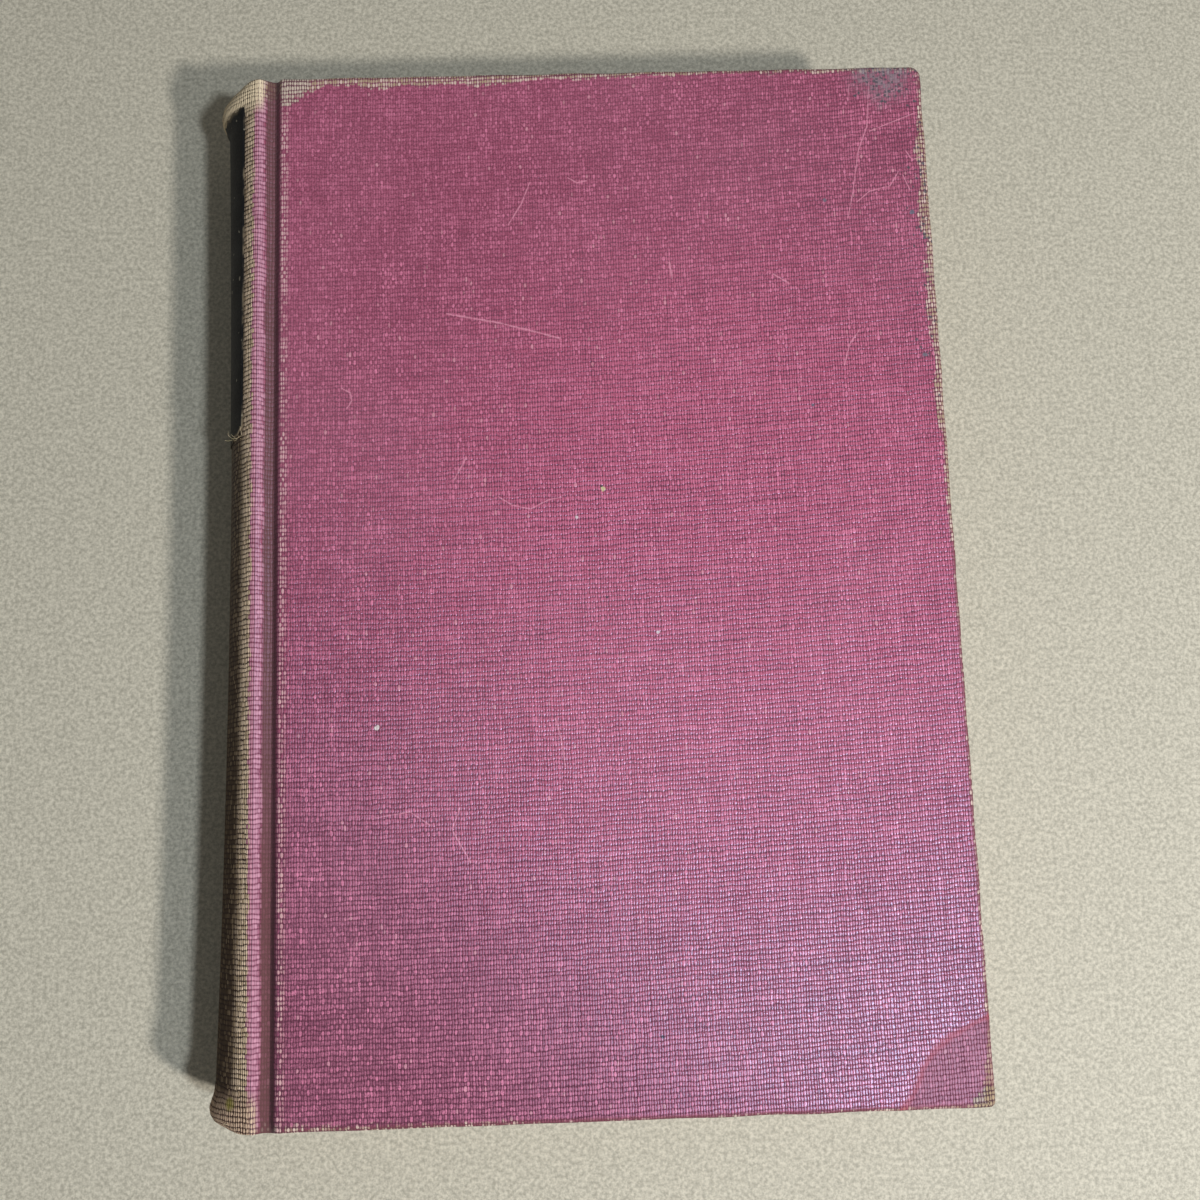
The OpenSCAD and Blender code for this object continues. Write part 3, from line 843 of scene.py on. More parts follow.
def weave_group():
    """Plain weave: each thread passes over one and under the next. Lengths in millimetres on the cloth."""
    inputs = [("At", "Vector", None), ("Warp Pitch", "Float", WARP_PITCH),
              ("Weft Pitch", "Float", WEFT_PITCH), ("Wander", "Float", WANDER)]
    outputs = [("Height", "Float"), ("Row", "Float"), ("Tone", "Float"), ("Cell", "Float")]
    group, t, i, o = new_group("Plain weave", "ShaderNodeTree", inputs, outputs)
    drift = t.noise(i["At"], 0.03, 2.0, "Color")
    shift = t.split(t.between("SUBTRACT", drift, (0.5, 0.5, 0.5)))
    wobble = t.noise(i["At"], 0.4, 3.0, "Color")
    shake = t.split(t.between("SUBTRACT", wobble, (0.5, 0.5, 0.5)))
    x, y = t.split(i["At"])[:2]
    spacing_u = t.noise(t.vector(t.mul(x, 1.1), t.mul(y, 0.03)), 1.0, 2.0)
    spacing_v = t.noise(t.vector(t.mul(x, 0.03), t.mul(y, 0.7)), 1.0, 2.0)
    stray_u = t.add(t.add(t.mul(shift[0], 1.0), t.mul(shake[0], 0.6)), t.mul(spacing_u, 0.7))
    stray_v = t.add(t.add(t.mul(shift[1], 1.2), t.mul(shake[1], 1.4)), t.mul(spacing_v, 1.2))
    u = t.add(x, t.mul(stray_u, i["Wander"]))
    v = t.add(y, t.mul(stray_v, i["Wander"]))
    warp = t.div(u, i["Warp Pitch"])
    weft = t.div(v, i["Weft Pitch"])
    warp_n = t.math("FLOOR", warp)
    weft_n = t.math("FLOOR", weft)
    warp_round = t.math("POWER", t.math("SINE", t.mul(t.math("FRACT", warp), math.pi)), 0.8)
    weft_round = t.math("POWER", t.math("SINE", t.mul(t.math("FRACT", weft), math.pi)), 0.5)
    warp_wave = t.math("COSINE", t.mul(t.sub(t.sub(weft, warp_n), 1.5), math.pi))
    weft_wave = t.math("COSINE", t.mul(t.sub(t.sub(warp, weft_n), 0.5), math.pi))
    slub_warp = t.noise(t.vector(t.mul(warp_n, 7.31), t.mul(y, 0.11)), 1.0, 3.0)
    slub_weft = t.noise(t.vector(t.mul(x, 0.11), t.mul(weft_n, 5.17)), 1.0, 3.0)
    thick_warp = t.add(0.62, t.mul(slub_warp, 0.76))
    thick_weft = t.add(0.70, t.mul(slub_weft, 0.5))
    warp_top = t.mul(t.add(0.43, t.add(t.mul(warp_round, 0.22), t.mul(warp_wave, 0.32))), thick_warp)
    weft_top = t.mul(t.add(0.355, t.add(t.mul(weft_round, 0.22), t.mul(weft_wave, 0.29))), thick_weft)
    over = t.math("GREATER_THAN", warp_top, weft_top)
    lint = t.noise(i["At"], 5.0, 2.0)
    height = t.mul(t.math("MAXIMUM", warp_top, weft_top), t.add(0.86, t.mul(weft_round, 0.14)))
    height = t.mul(height, t.add(0.82, t.mul(warp_round, 0.18)))
    height = t.add(height, t.mul(t.sub(lint, 0.5), 0.3))
    tone = t.add(t.mul(slub_warp, over), t.mul(slub_weft, t.sub(1.0, over)))
    cell = t.node("ShaderNodeTexWhiteNoise", t.vector(warp_n, weft_n), noise_dimensions="2D").outputs[0]
    t.put(o["Height"], t.ramp(height, 0.28, 0.98))
    t.put(o["Row"], weft_round)
    t.put(o["Tone"], tone)
    t.put(o["Cell"], cell)
    return group


def scratch_group():
    """Mask of one straight piece of a scratch; Break, from 0 to 1, thins it along its way."""
    inputs = [("At", "Vector", None), ("From", "Vector", None), ("To", "Vector", None),
              ("Width", "Float", 0.2), ("Break", "Float", 0.5)]
    group, t, i, o = new_group("Scratch", "ShaderNodeTree", inputs, [("Mask", "Float")])
    off = t.between("SUBTRACT", i["At"], i["From"])
    way = t.between("SUBTRACT", i["To"], i["From"])
    length = t.dot(way, way)
    share = t.div(t.dot(off, way), length)
    held = t.math("MINIMUM", t.math("MAXIMUM", share, 0.0), 1.0)
    nearest = t.node("ShaderNodeVectorMath", way, operation="SCALE")
    t.put(nearest.inputs["Scale"], held)
    gap = t.distance(off, nearest)
    wide = t.mul(i["Width"], t.ramp(i["Break"], 0.3, 0.6, 0.3, 1.3))
    t.put(o["Mask"], t.ramp(gap, 0.0, wide, 1.0, 0.0))
    return group


def worn_group():
    """Wear along one edge: how bare the threads are by distance from the edge, in millimetres."""
    inputs = [("At", "Vector", None), ("Edge", "Float", 0.0), ("Reach", "Float", 3.0),
              ("Amount", "Float", 1.0)]
    group, t, i, o = new_group("Worn edge", "ShaderNodeTree", inputs, [("Mask", "Float")])
    coarse = t.noise(i["At"], 0.10, 3.0)
    fine = t.noise(i["At"], 1.1, 2.0)
    reach_here = t.mul(i["Reach"], t.ramp(coarse, 0.3, 0.7, 0.7, 1.3))
    far = t.div(t.math("ABSOLUTE", t.sub(i["Edge"], 0.1)), reach_here)
    near = t.ramp(far, 0.1, 1.0, 1.0, 0.0)
    patch = t.add(t.ramp(coarse, 0.3, 0.6, 0.6, 0.9), t.mul(t.sub(fine, 0.5), 1.4))
    t.put(o["Mask"], t.math("MULTIPLY", t.mul(near, patch), i["Amount"], clamp=True))
    return group


def speckle_group():
    """Scattered dots on the cloth: a share of the cells of a jittered grid, each of its own size."""
    inputs = [("At", "Vector", None), ("Spacing", "Float", 2.0), ("Share", "Float", 0.3),
              ("Size", "Float", 0.3)]
    group, t, i, o = new_group("Speckle", "ShaderNodeTree", inputs, [("Mask", "Float")])
    scale = t.div(1.0, i["Spacing"])
    cells = t.node("ShaderNodeTexVoronoi", i["At"], voronoi_dimensions="2D")
    t.put(cells.inputs["Scale"], scale)
    pick = t.split(cells.outputs["Color"])
    size = t.mul(t.div(i["Size"], i["Spacing"]), t.add(0.4, t.mul(pick[1], 0.9)))
    ragged = t.noise(i["At"], 2.2, 2.0)
    gap = t.add(cells.outputs["Distance"], t.mul(t.sub(ragged, 0.5), size))
    dot = t.ramp(t.div(gap, size), 0.6, 1.1, 1.0, 0.0)
    t.put(o["Mask"], t.mul(dot, t.math("LESS_THAN", pick[0], i["Share"])))
    return group


def fibre_group():
    """Mottle of paper or board: fine fibre, soft clouds and a few spots."""
    inputs = [("At", "Vector", None), ("Fibre", "Float", 900.0), ("Cloud", "Float", 35.0)]
    outputs = [("Fibre", "Float"), ("Cloud", "Float"), ("Spot", "Float")]
    group, t, i, o = new_group("Paper fibre", "ShaderNodeTree", inputs, outputs)
    t.put(o["Fibre"], t.noise(i["At"], i["Fibre"], 3.0))
    t.put(o["Cloud"], t.noise(i["At"], i["Cloud"], 4.0))
    spots = t.noise(i["At"], t.mul(i["Cloud"], 6.0), 2.0)
    t.put(o["Spot"], t.ramp(spots, 0.66, 0.76))
    return group


WEAVE = weave_group()
SCRATCH = scratch_group()
WORN = worn_group()
SPECKLE = speckle_group()
FIBRE = fibre_group()


# Materials

def new_material(name):
    material = bpy.data.materials.new(name)
    material.use_nodes = True
    material.node_tree.nodes.clear()
    tree = Tree(material.node_tree)
    shader = tree.node("ShaderNodeBsdfPrincipled")
    tree.node("ShaderNodeOutputMaterial", shader)
    return material, tree, shader


def use(tree, group, **values):
    made = tree.node("ShaderNodeGroup")
    made.node_tree = group
    for label, value in values.items():
        tree.put(made.inputs[label.replace("_", " ")], value)
    return made.outputs


def mix(tree, factor, a, b):
    made = tree.node("ShaderNodeMix", data_type="RGBA")
    tree.put(made.inputs[0], factor)
    tree.put(made.inputs[6], a)
    tree.put(made.inputs[7], b)
    return made.outputs[2]


def add_relief(tree, shader, height, depth, strength=1.0):
    """Fine relief that is too small for the mesh; depth in metres."""
    bump = tree.node("ShaderNodeBump")
    tree.put(bump.inputs["Height"], height)
    bump.inputs["Strength"].default_value = strength
    bump.inputs["Distance"].default_value = depth
    tree.put(shader.inputs["Normal"], bump)


def colour(r, g, b):
    return (r, g, b, 1.0)


def most(tree, values):
    best = values[0]
    for value in values[1:]:
        best = tree.math("MAXIMUM", best, value)
    return best


# Colours of the cloth
# Deepest tone of the cloth: painted shade in the gaps between threads and where the cloth darkens outwards,
# and darker dye in random patches
DEEP_DYE_AND_SHADE = colour(0.088, 0.012, 0.026)
DYE = colour(0.465, 0.076, 0.154)
# Paler tone of the thread tops: partly rubbed wear, partly a painted highlight
RUBBED_AND_LIT_DYE = colour(0.800, 0.240, 0.395)
SCRATCHED = colour(0.740, 0.290, 0.400)
# Pale pink: faded dye, and on the ridge also a painted sheen; the ridge's gaps between rows are painted
# shade
FADED_AND_SHEEN_PINK = colour(0.660, 0.330, 0.430)
RIDGE_GAP_SHADE = colour(0.210, 0.052, 0.090)
BARE_TAN = colour(0.430, 0.310, 0.190)
BARE_PALE = colour(0.680, 0.510, 0.430)
# Tan of the worn head cap, made lighter as painted light on its shaded face
HEAD_CAP_TAN_AND_LIGHT = colour(0.880, 0.720, 0.500)
CAP_BROWN = colour(0.700, 0.500, 0.360)
BARE_PINK = colour(0.700, 0.440, 0.430)
EDGE_BROWN = colour(0.075, 0.036, 0.026)
DAMP = colour(0.260, 0.230, 0.040)
RIM_RED = colour(0.150, 0.036, 0.036)
# Spine past the ridge: bleached tan made lighter as painted light, brown that is mostly painted shade with
# some dirt, and painted shade in the gaps between rows
SPINE_TAN_AND_LIGHT = colour(0.950, 0.730, 0.530)
SPINE_DIRT_AND_SHADE = colour(0.085, 0.054, 0.030)
SPINE_GAP_SHADE = colour(0.040, 0.022, 0.014)
# Darkest tone of the groove: partly dirt, partly painted shade in the crease
CREASE_DIRT_AND_SHADE = colour(0.120, 0.045, 0.036)

# Scratches on the front: half width and path, in millimetres on the cloth
FRONT_SCRATCHES = [
    (0.30, [(-24.6, 50.8), (-14.2, 48.7), (-2.6, 45.3)]),
    (0.18, [(61.5, 97.9), (60.5, 88.4), (58.4, 83.1), (56.8, 74.3), (55.5, 68.9)]),
    (0.15, [(61.0, 93.9), (67.9, 96.7)]), (0.15, [(61.0, 87.4), (70.6, 91.2)]),
    (0.18, [(57.5, 72.3), (60.2, 74.5), (64.4, 75.6), (66.2, 78.5)]), (0.14, [(57.4, 97.5), (57.0, 94.0)]),
    (0.16, [(67.9, 83.2), (69.2, 81.0), (70.8, 81.6)]), (0.16, [(67.1, 77.8), (68.3, 74.6)]),
    (0.18, [(-15.3, 13.9), (-12.7, 12.1), (-9.2, 11.2), (-5.7, 12.9), (-3.0, 13.4)]),
    (0.26, [(-45.1, 36.2), (-43.5, 35.2), (-43.2, 33.6), (-44.1, 32.2)]),
    (0.22, [(-0.1, 78.7), (1.7, 77.6), (3.5, 78.0)]),
    (0.20, [(-39.2, -46.4), (-32.7, -45.5), (-29.1, -48.0)]),
    (0.20, [(-7.7, 78.0), (-9.4, 73.6), (-12.2, 69.0)]), (0.22, [(53.0, 38.5), (54.2, 42.6), (56.3, 45.5)]),
    (0.30, [(19.5, 60.4), (19.9, 57.2)]), (0.24, [(40.0, 57.5), (43.0, 55.5)]),
    (0.22, [(-21.3, 21.6), (-23.7, 17.3)]), (0.24, [(-23.5, -45.0), (-25.0, -49.0), (-21.7, -55.0)]),
    (0.20, [(-5.4, -29.0), (-4.4, -33.0), (-3.8, -38.0)]),
]
BACK_SCRATCHES = [(0.24, [(-20, 30), (-6, 37), (4, 41)]), (0.20, [(38, -52), (46, -47), (52, -40)]),
                  (0.24, [(-40, -70), (-31, -74)]), (0.16, [(60, 70), (52, 84), (50, 92)])]

# Finish of the cloth: its glaze, the lilac of its sheen, and the depth of its weave in metres
CLOTH_IOR = 1.7
COVER_GLOSS = 0.65
SPINE_GLOSS = 0.12
SHEEN_TINT = colour(0.50, 0.67, 1.0)
WEAVE_DEPTH = 0.00008

# How far the weft bows, for the square of the way across the cover from its start
WEFT_BOW = 0.085 / 260.0
BOW_START = 60.0

# Places on the cloth, in millimetres: the middle from which the cloth darkens outwards, partly as painted
# shade of the light's falloff, the damp mark on the spine, and how far from the board the groove lies, the
# ridge pales and the tan begins
BRIGHTEST_CLOTH_CENTRE = (30.0, -4.0, 0.0)
GROOVE_R = 2.9
RIDGE_PALE_FROM = 4.3
RIDGE_PALE_TO = 5.4
TAN_FROM = 7.1
TAN_TO = 7.6
DAMP_PLACE = (BOARD_X - 11.4, -96.6, 0.0)


def scratch_masks(t, at, scratches):
    flat = t.between("MULTIPLY", at, (1.0, 1.0, 0.0))
    broken = t.noise(flat, 0.9, 2.0)
    masks = []
    for width, path in scratches:
        for a, b in zip(path, path[1:]):
            piece = use(t, SCRATCH, At=flat, From=(*a, 0.0), To=(*b, 0.0), Width=width, Break=broken)
            masks.append(piece["Mask"])
    return most(t, masks)


def cloth_material(name, turn, scratches, stained, gloss):
    """Book cloth: plain weave, paler thread tops (rubbed, and partly a painted highlight) over gaps in
    painted shade, bare worn edges, a crease darkened by dirt and painted shade, and a faded spine partly
    painted in light and shade.
    """
    material, t, shader = new_material(name)
    cloth = t.cloth_coords()
    u, v, r = t.split(cloth)
    across = t.add(u, BOW_START)
    bowed = t.vector(u, t.sub(v, t.mul(t.mul(across, across), WEFT_BOW)), 0.0)
    place = t.between("ADD", bowed, turn)
    weave = use(t, WEAVE, At=place)
    patch = t.noise(place, 0.11, 4.0)
    # The weave is flattened towards the head and the spine side, which there weakens both its relief and its
    # painted gap shade
    flattened_weave = t.ramp(t.sub(v, t.mul(u, 0.7)), -10.0, 110.0, 0.0, 0.6)
    flattened_weave = t.mul(flattened_weave, t.ramp(r, 0.0, 3.0, 1.0, 0.0))
    high = t.add(t.mul(weave["Height"], t.sub(1.0, flattened_weave)), t.mul(flattened_weave, 0.62))
    top = t.ramp(high, 0.1, 0.7)
    dye = dyed_threads(t, weave, high, place, patch, top)
    dye = faded_spine(t, weave, r, patch, top, dye)
    dye, bare = bare_edges(t, weave, place, (u, v, r), patch, dye)
    # Darker along the groove: partly dirt, partly painted shade in the crease, with duller threads
    ragged_r = t.add(r, t.mul(t.sub(patch, 0.5), 1.2))
    dirt_and_crease_shade = t.ramp(t.math("ABSOLUTE", t.sub(ragged_r, GROOVE_R)), 1.4, 2.2, 1.0, 0.0)
    dye = mix(t, t.mul(dirt_and_crease_shade, t.ramp(top, 0.0, 1.0, 0.97, 0.84)), dye, CREASE_DIRT_AND_SHADE)
    if scratches:
        dye = mix(t, t.mul(scratch_masks(t, cloth, scratches), 0.75), dye, SCRATCHED)
    rough = t.add(t.ramp(high, 0.1, 0.5, 0.95, 0.32), t.mul(bare, 0.45))
    rough = t.add(rough, t.add(t.mul(dirt_and_crease_shade, 0.25), t.ramp(r, 3.0, 7.5, 0.0, 0.25)))
    rough = t.add(rough, t.ramp(t.add(u, v), -150.0, -50.0, 0.5, 0.0))
    if stained:
        dye, dulled = add_stains(t, weave, (u, v), top, dye)
        rough = t.add(rough, t.mul(dulled, 0.24))
    t.put(shader.inputs["Base Color"], dye)
    t.put(shader.inputs["Roughness"], rough)
    shader.inputs["IOR"].default_value = CLOTH_IOR
    shader.inputs["Specular IOR Level"].default_value = gloss
    shader.inputs["Specular Tint"].default_value = SHEEN_TINT
    add_relief(t, shader, t.mul(high, t.ramp(r, 6.0, 8.0, 1.0, 3.0)), WEAVE_DEPTH)
    return material


def dyed_threads(t, weave, high, place, patch, top):
    """Gaps darkened as painted shade, dyed threads and paler tops, partly rubbed and partly a painted
    highlight, with a few pale fibres; the cloth also darkens away from its brightest middle.
    """
    broad = t.noise(place, 0.014, 3.0)
    away = t.distance(place, BRIGHTEST_CLOTH_CENTRE)
    x, y = t.split(place)[:2]
    low_left = t.ramp(t.add(x, y), -150.0, -60.0, 0.3, 0.0)
    # The dye darkens away from the brightest middle and towards the lower left: painted shade where the
    # light falls off, partly also paler wear in the middle
    dye = mix(t, t.add(t.ramp(away, 25.0, 92.0, 0.0, 0.50), low_left), DYE, DEEP_DYE_AND_SHADE)
    # Painted shade: the gaps between threads take the deepest tone, and the thread tops keep the dye
    dye = mix(t, top, DEEP_DYE_AND_SHADE, dye)
    # Paler thread tops: partly rubbed wear, partly a painted highlight of the weave's relief
    rub = t.mul(t.ramp(high, 0.35, 0.85), t.ramp(weave["Tone"], 0.35, 0.7, 0.35, 0.75))
    rub = t.mul(rub, t.mul(t.ramp(patch, 0.3, 0.7, 0.7, 0.95), t.add(0.3, weave["Cell"])))
    grain = t.noise(place, 2.8, 3.0)
    rub = t.add(rub, t.mul(t.sub(grain, 0.5), 0.8))
    dye = mix(t, rub, dye, RUBBED_AND_LIT_DYE)
    dye = mix(t, t.ramp(grain, 0.32, 0.5, 0.45, 0.0), dye, DEEP_DYE_AND_SHADE)
    slub = t.mul(t.ramp(weave["Cell"], 0.990, 0.994), t.ramp(weave["Height"], 0.4, 0.7))
    dye = mix(t, t.mul(slub, 0.3), dye, BARE_PINK)
    return mix(t, t.mul(t.ramp(broad, 0.42, 0.66), 0.05), dye, FADED_AND_SHEEN_PINK)


def faded_spine(t, weave, r, patch, top, dye):
    """The ridge pales to pink, partly a painted sheen, and past its outer edge the back is bleached to tan,
    partly painted light, and turns brown, mostly painted shade; the gaps between rows are painted shade.
    """
    rows = t.add(t.mul(t.ramp(weave["Row"], 0.35, 0.9), 0.2), t.mul(top, 0.8))
    rows = t.mul(rows, t.add(0.5, t.mul(weave["Cell"], 0.5)))
    across = t.add(r, t.add(t.mul(t.sub(patch, 0.5), 1.4), t.mul(t.sub(weave["Cell"], 0.5), 0.9)))
    # The ridge: pale rows in a pink that is partly faded dye and partly painted sheen, with painted shade in
    # the gaps between rows
    lines = t.add(t.mul(t.ramp(weave["Row"], 0.45, 0.95), 0.6), t.mul(top, 0.35))
    ridge = mix(t, t.mul(lines, t.add(0.7, t.mul(weave["Cell"], 0.4))), RIDGE_GAP_SHADE, FADED_AND_SHEEN_PINK)
    dye = mix(t, t.mul(t.ramp(across, RIDGE_PALE_FROM, RIDGE_PALE_TO), 0.85), dye, ridge)
    # Past the ridge the tan is lightened as painted light, and further round it turns to brown, mostly
    # painted shade with some dirt
    brown = mix(t, t.ramp(across, 8.8, 11.5), SPINE_TAN_AND_LIGHT, SPINE_DIRT_AND_SHADE)
    pale = t.mul(t.ramp(weave["Cell"], 0.6, 0.9), t.ramp(across, 8.5, 16.0, 0.7, 0.3))
    brown = mix(t, pale, brown, BARE_TAN)
    # Painted shade in the gaps between the spine's rows
    tan = mix(t, t.ramp(rows, 0.25, 0.65), SPINE_GAP_SHADE, brown)
    return mix(t, t.ramp(across, TAN_FROM, TAN_TO), dye, tan)


def bare_edges(t, weave, place, at, patch, dye):
    """Threads worn bare along head, fore edge and tail, on the caps and on the board's joint edge; the head
    cap is also lightened as painted light.
    """
    u, v, r = at
    high = t.ramp(weave["Height"], 0.35, 0.85)
    head = t.sub(HALF_H, v)
    tail = t.add(HALF_H, v)
    fore = t.sub(FORE_X, u)
    head_worn = use(t, WORN, At=place, Edge=head, Reach=t.ramp(u, BOARD_X, 10.0, 4.0, 2.2),
                    Amount=t.ramp(u, BOARD_X + 8.0, 45.0, 2.0, 0.6))["Mask"]
    low_corner = t.ramp(v, -70.0, -HALF_H, 0.0, 1.4)
    along_fore = t.mul(t.ramp(v, -10.0, 30.0, 0.45, 1.1), t.ramp(v, 88.0, 97.0, 1.0, 0.3))
    fore_worn = use(t, WORN, At=place, Edge=fore, Reach=t.add(low_corner, t.ramp(v, 0.0, 50.0, 1.4, 3.0)),
                    Amount=t.add(along_fore, t.mul(low_corner, 0.3)))["Mask"]
    along_tail = t.add(t.ramp(u, -50.0, 0.0, 0.5, 0.3), t.ramp(u, 40.0, 70.0, 0.0, 0.4))
    tail_worn = use(t, WORN, At=place, Edge=tail, Reach=t.ramp(u, -55.0, 10.0, 3.0, 1.2),
                    Amount=along_tail)["Mask"]
    worn = most(t, [head_worn, fore_worn, tail_worn])
    worn = t.ramp(t.mul(worn, t.add(0.5, weave["Cell"])), 0.25, 0.5)
    # Darker towards the cloth's rim and down over its edge
    rim = t.math("MINIMUM", t.math("MINIMUM", head, tail), fore)
    brown = t.mul(t.ramp(rim, 0.1, 1.3, 0.85, 0.0), t.ramp(rim, -2.4, -0.4, 0.35, 1.0))
    dye = mix(t, brown, dye, RIM_RED)
    dye = mix(t, t.mul(worn, 0.35), dye, EDGE_BROWN)
    # On the caps the cloth is darkened under the bare threads, less at the head, where the difference is
    # painted light
    cap = t.mul(t.ramp(t.math("ABSOLUTE", v), HALF_H - 8.0, HALF_H - 3.5), t.ramp(r, 4.6, 6.2))
    dye = mix(t, t.mul(cap, t.ramp(v, -10.0, 10.0, 0.85, 0.5)), dye, EDGE_BROWN)
    pale = mix(t, t.ramp(weave["Cell"], 0.3, 0.9), BARE_TAN, BARE_PALE)
    dye = mix(t, t.mul(worn, high), dye, pale)
    # Bare tan threads on the caps, lighter at the head: partly wear, partly painted light on the head cap's
    # shaded face
    cap_tint = mix(t, t.ramp(v, -10.0, 10.0), CAP_BROWN, HEAD_CAP_TAN_AND_LIGHT)
    low = t.ramp(v, -10.0, 10.0, 0.3, 0.0)
    dye = mix(t, t.mul(cap, t.ramp(weave["Height"], low, t.add(low, 0.5))), dye, cap_tint)
    joint = t.ramp(t.math("ABSOLUTE", t.sub(u, BOARD_X + 0.3)), 0.2, 1.3, 1.0, 0.0)
    joint = t.mul(joint, t.mul(t.ramp(patch, 0.3, 0.6, 0.5, 1.0), t.ramp(weave["Cell"], 0.1, 0.5)))
    dye = mix(t, t.mul(joint, t.ramp(weave["Height"], 0.45, 0.9)), dye, BARE_PINK)
    damp = t.distance(t.vector(u, v, 0.0), DAMP_PLACE)
    dye = mix(t, t.ramp(t.add(damp, patch), 1.0, 2.0, 0.75, 0.0), dye, DAMP)
    return dye, most(t, [worn, cap, joint, brown])


# Specks on the front: place, size and colour
FRONT_SPECKS = [
    ((-38.7, -29.8, 0), 0.75, colour(0.72, 0.64, 0.62)), ((4.9, 14.8, 0), 0.75, colour(0.62, 0.56, 0.30)),
    ((4.6, 15.4, 0), 0.35, colour(0.03, 0.03, 0.02)), ((-0.3, 9.4, 0), 0.5, colour(0.66, 0.55, 0.58)),
    ((5.0, -6.3, 0), 0.35, colour(0.05, 0.03, 0.04)), ((14.4, -13.3, 0), 0.5, colour(0.70, 0.62, 0.66)),
    ((12.5, -87.1, 0), 0.6, colour(0.04, 0.03, 0.04)), ((68.4, 69.9, 0), 0.8, colour(0.12, 0.12, 0.16)),
    ((69.0, 40.1, 0), 0.8, colour(0.14, 0.13, 0.16)), ((46.3, 30.5, 0), 0.5, colour(0.12, 0.10, 0.14)),
    ((51.1, 72.8, 0), 0.6, colour(0.15, 0.12, 0.16)),
]
STAIN_CENTRE = (78.5, -108.5, 0.0)
STAIN_R = 24.4
STAIN_DULL = colour(0.270, 0.100, 0.120)
STAIN_RIM = colour(0.400, 0.055, 0.075)
SOOT = colour(0.060, 0.055, 0.060)
SOOT_HAZE = colour(0.24, 0.19, 0.21)
CHALK = colour(0.640, 0.520, 0.420)


def add_stains(t, weave, at, top, dye):
    """What the front has picked up: a damp stain with a rim, soot, a pale corner and single specks."""
    u, v = at
    flat = t.vector(u, v, 0.0)
    ragged = t.noise(flat, 0.16, 3.0)

    def gap_from(place, rough):
        gap = t.distance(flat, place)
        return t.add(gap, t.mul(t.sub(ragged, 0.5), rough))

    stain = gap_from(STAIN_CENTRE, 3.0)
    dulled = t.ramp(stain, STAIN_R - 0.5, STAIN_R + 0.4, 1.0, 0.0)
    dye = mix(t, t.mul(t.mul(dulled, 0.42), top), dye, STAIN_DULL)
    rim = t.ramp(t.math("ABSOLUTE", t.sub(stain, STAIN_R - 0.4)), 0.2, 1.0, 1.0, 0.0)
    dye = mix(t, t.mul(rim, t.ramp(top, 0.0, 1.0, 0.1, 0.65)), dye, STAIN_RIM)
    corner = t.ramp(gap_from((FORE_X - 0.5, -HALF_H + 0.5, 0.0), 3.0), 1.5, 5.0, 1.0, 0.0)
    corner = t.ramp(t.mul(corner, t.add(0.5, weave["Cell"])), 0.25, 0.5)
    dye = mix(t, t.mul(corner, 0.8), dye, EDGE_BROWN)
    dye = mix(t, t.mul(corner, t.ramp(weave["Height"], 0.4, 0.9)), dye, BARE_TAN)
    chalk = t.ramp(gap_from((BOARD_X + 1.0, HALF_H - 1.5, 0.0), 4.0), 2.0, 6.0, 1.0, 0.0)
    chalk = t.mul(chalk, t.ramp(u, BOARD_X - 1.0, BOARD_X))
    chalk = t.ramp(t.mul(chalk, t.add(0.5, weave["Cell"])), 0.25, 0.5)
    dye = mix(t, t.mul(chalk, 0.5), dye, EDGE_BROWN)
    dye = mix(t, t.mul(chalk, t.ramp(weave["Height"], 0.35, 0.9)), dye, CHALK)
    sooty = t.ramp(gap_from((64.0, HALF_H - 1.5, 0.0), 6.0), 2.0, 9.0, 1.0, 0.0)
    edge = t.mul(t.ramp(t.sub(FORE_X, u), 0.5, 6.0, 1.0, 0.0), t.ramp(v, 20.0, 60.0))
    share = t.math("MAXIMUM", t.mul(sooty, 0.55), t.mul(edge, 0.16))
    dots = use(t, SPECKLE, At=flat, Spacing=0.75, Share=share, Size=0.34)["Mask"]
    dye = mix(t, t.mul(t.mul(sooty, t.add(0.2, weave["Cell"])), 0.8), dye, SOOT_HAZE)
    dye = mix(t, t.mul(dots, 0.85), dye, SOOT)
    rough = t.noise(flat, 1.6, 2.0)
    for place, size, tint in FRONT_SPECKS:
        gap = t.distance(flat, place)
        gap = t.add(gap, t.mul(t.sub(rough, 0.5), size))
        dye = mix(t, t.ramp(gap, size * 0.45, size * 0.75, 0.9, 0.0), dye, tint)
    return dye, dulled


def label_material():
    """Smooth black panel, rubbed at its edges, with faint flecks."""
    material, t, shader = new_material("rubbed_black_label")
    cloth = t.cloth_coords()
    at = t.object_coords()
    parts = t.split(cloth)
    u = parts[0]
    end = parts[2]
    grain = t.noise(at, 2600.0, 3.0)
    rub = t.noise(at, 160.0, 4.0)
    base = mix(t, t.ramp(rub, 0.35, 0.7), colour(0.006, 0.006, 0.007), colour(0.016, 0.016, 0.017))
    from_sides = t.math("MINIMUM", u, t.sub(1.0, u))
    from_ends = t.math("MINIMUM", end, t.sub(1.0, end))
    side = t.math("MINIMUM", from_sides, t.mul(from_ends, 2.0))
    edge = t.mul(t.ramp(side, 0.0, 0.022, 1.0, 0.0), t.ramp(rub, 0.42, 0.6))
    fleck = t.ramp(t.noise(at, 700.0, 1.0), 0.72, 0.76)
    base = mix(t, t.mul(fleck, 0.6), base, colour(0.42, 0.38, 0.30))
    base = mix(t, edge, base, colour(0.20, 0.16, 0.11))
    t.put(shader.inputs["Base Color"], base)
    t.put(shader.inputs["Roughness"], t.ramp(grain, 0.3, 0.7, 0.6, 0.75))
    shader.inputs["Specular IOR Level"].default_value = 0.12
    add_relief(t, shader, t.add(grain, t.mul(rub, 2.0)), 0.00005, 0.35)
    return material


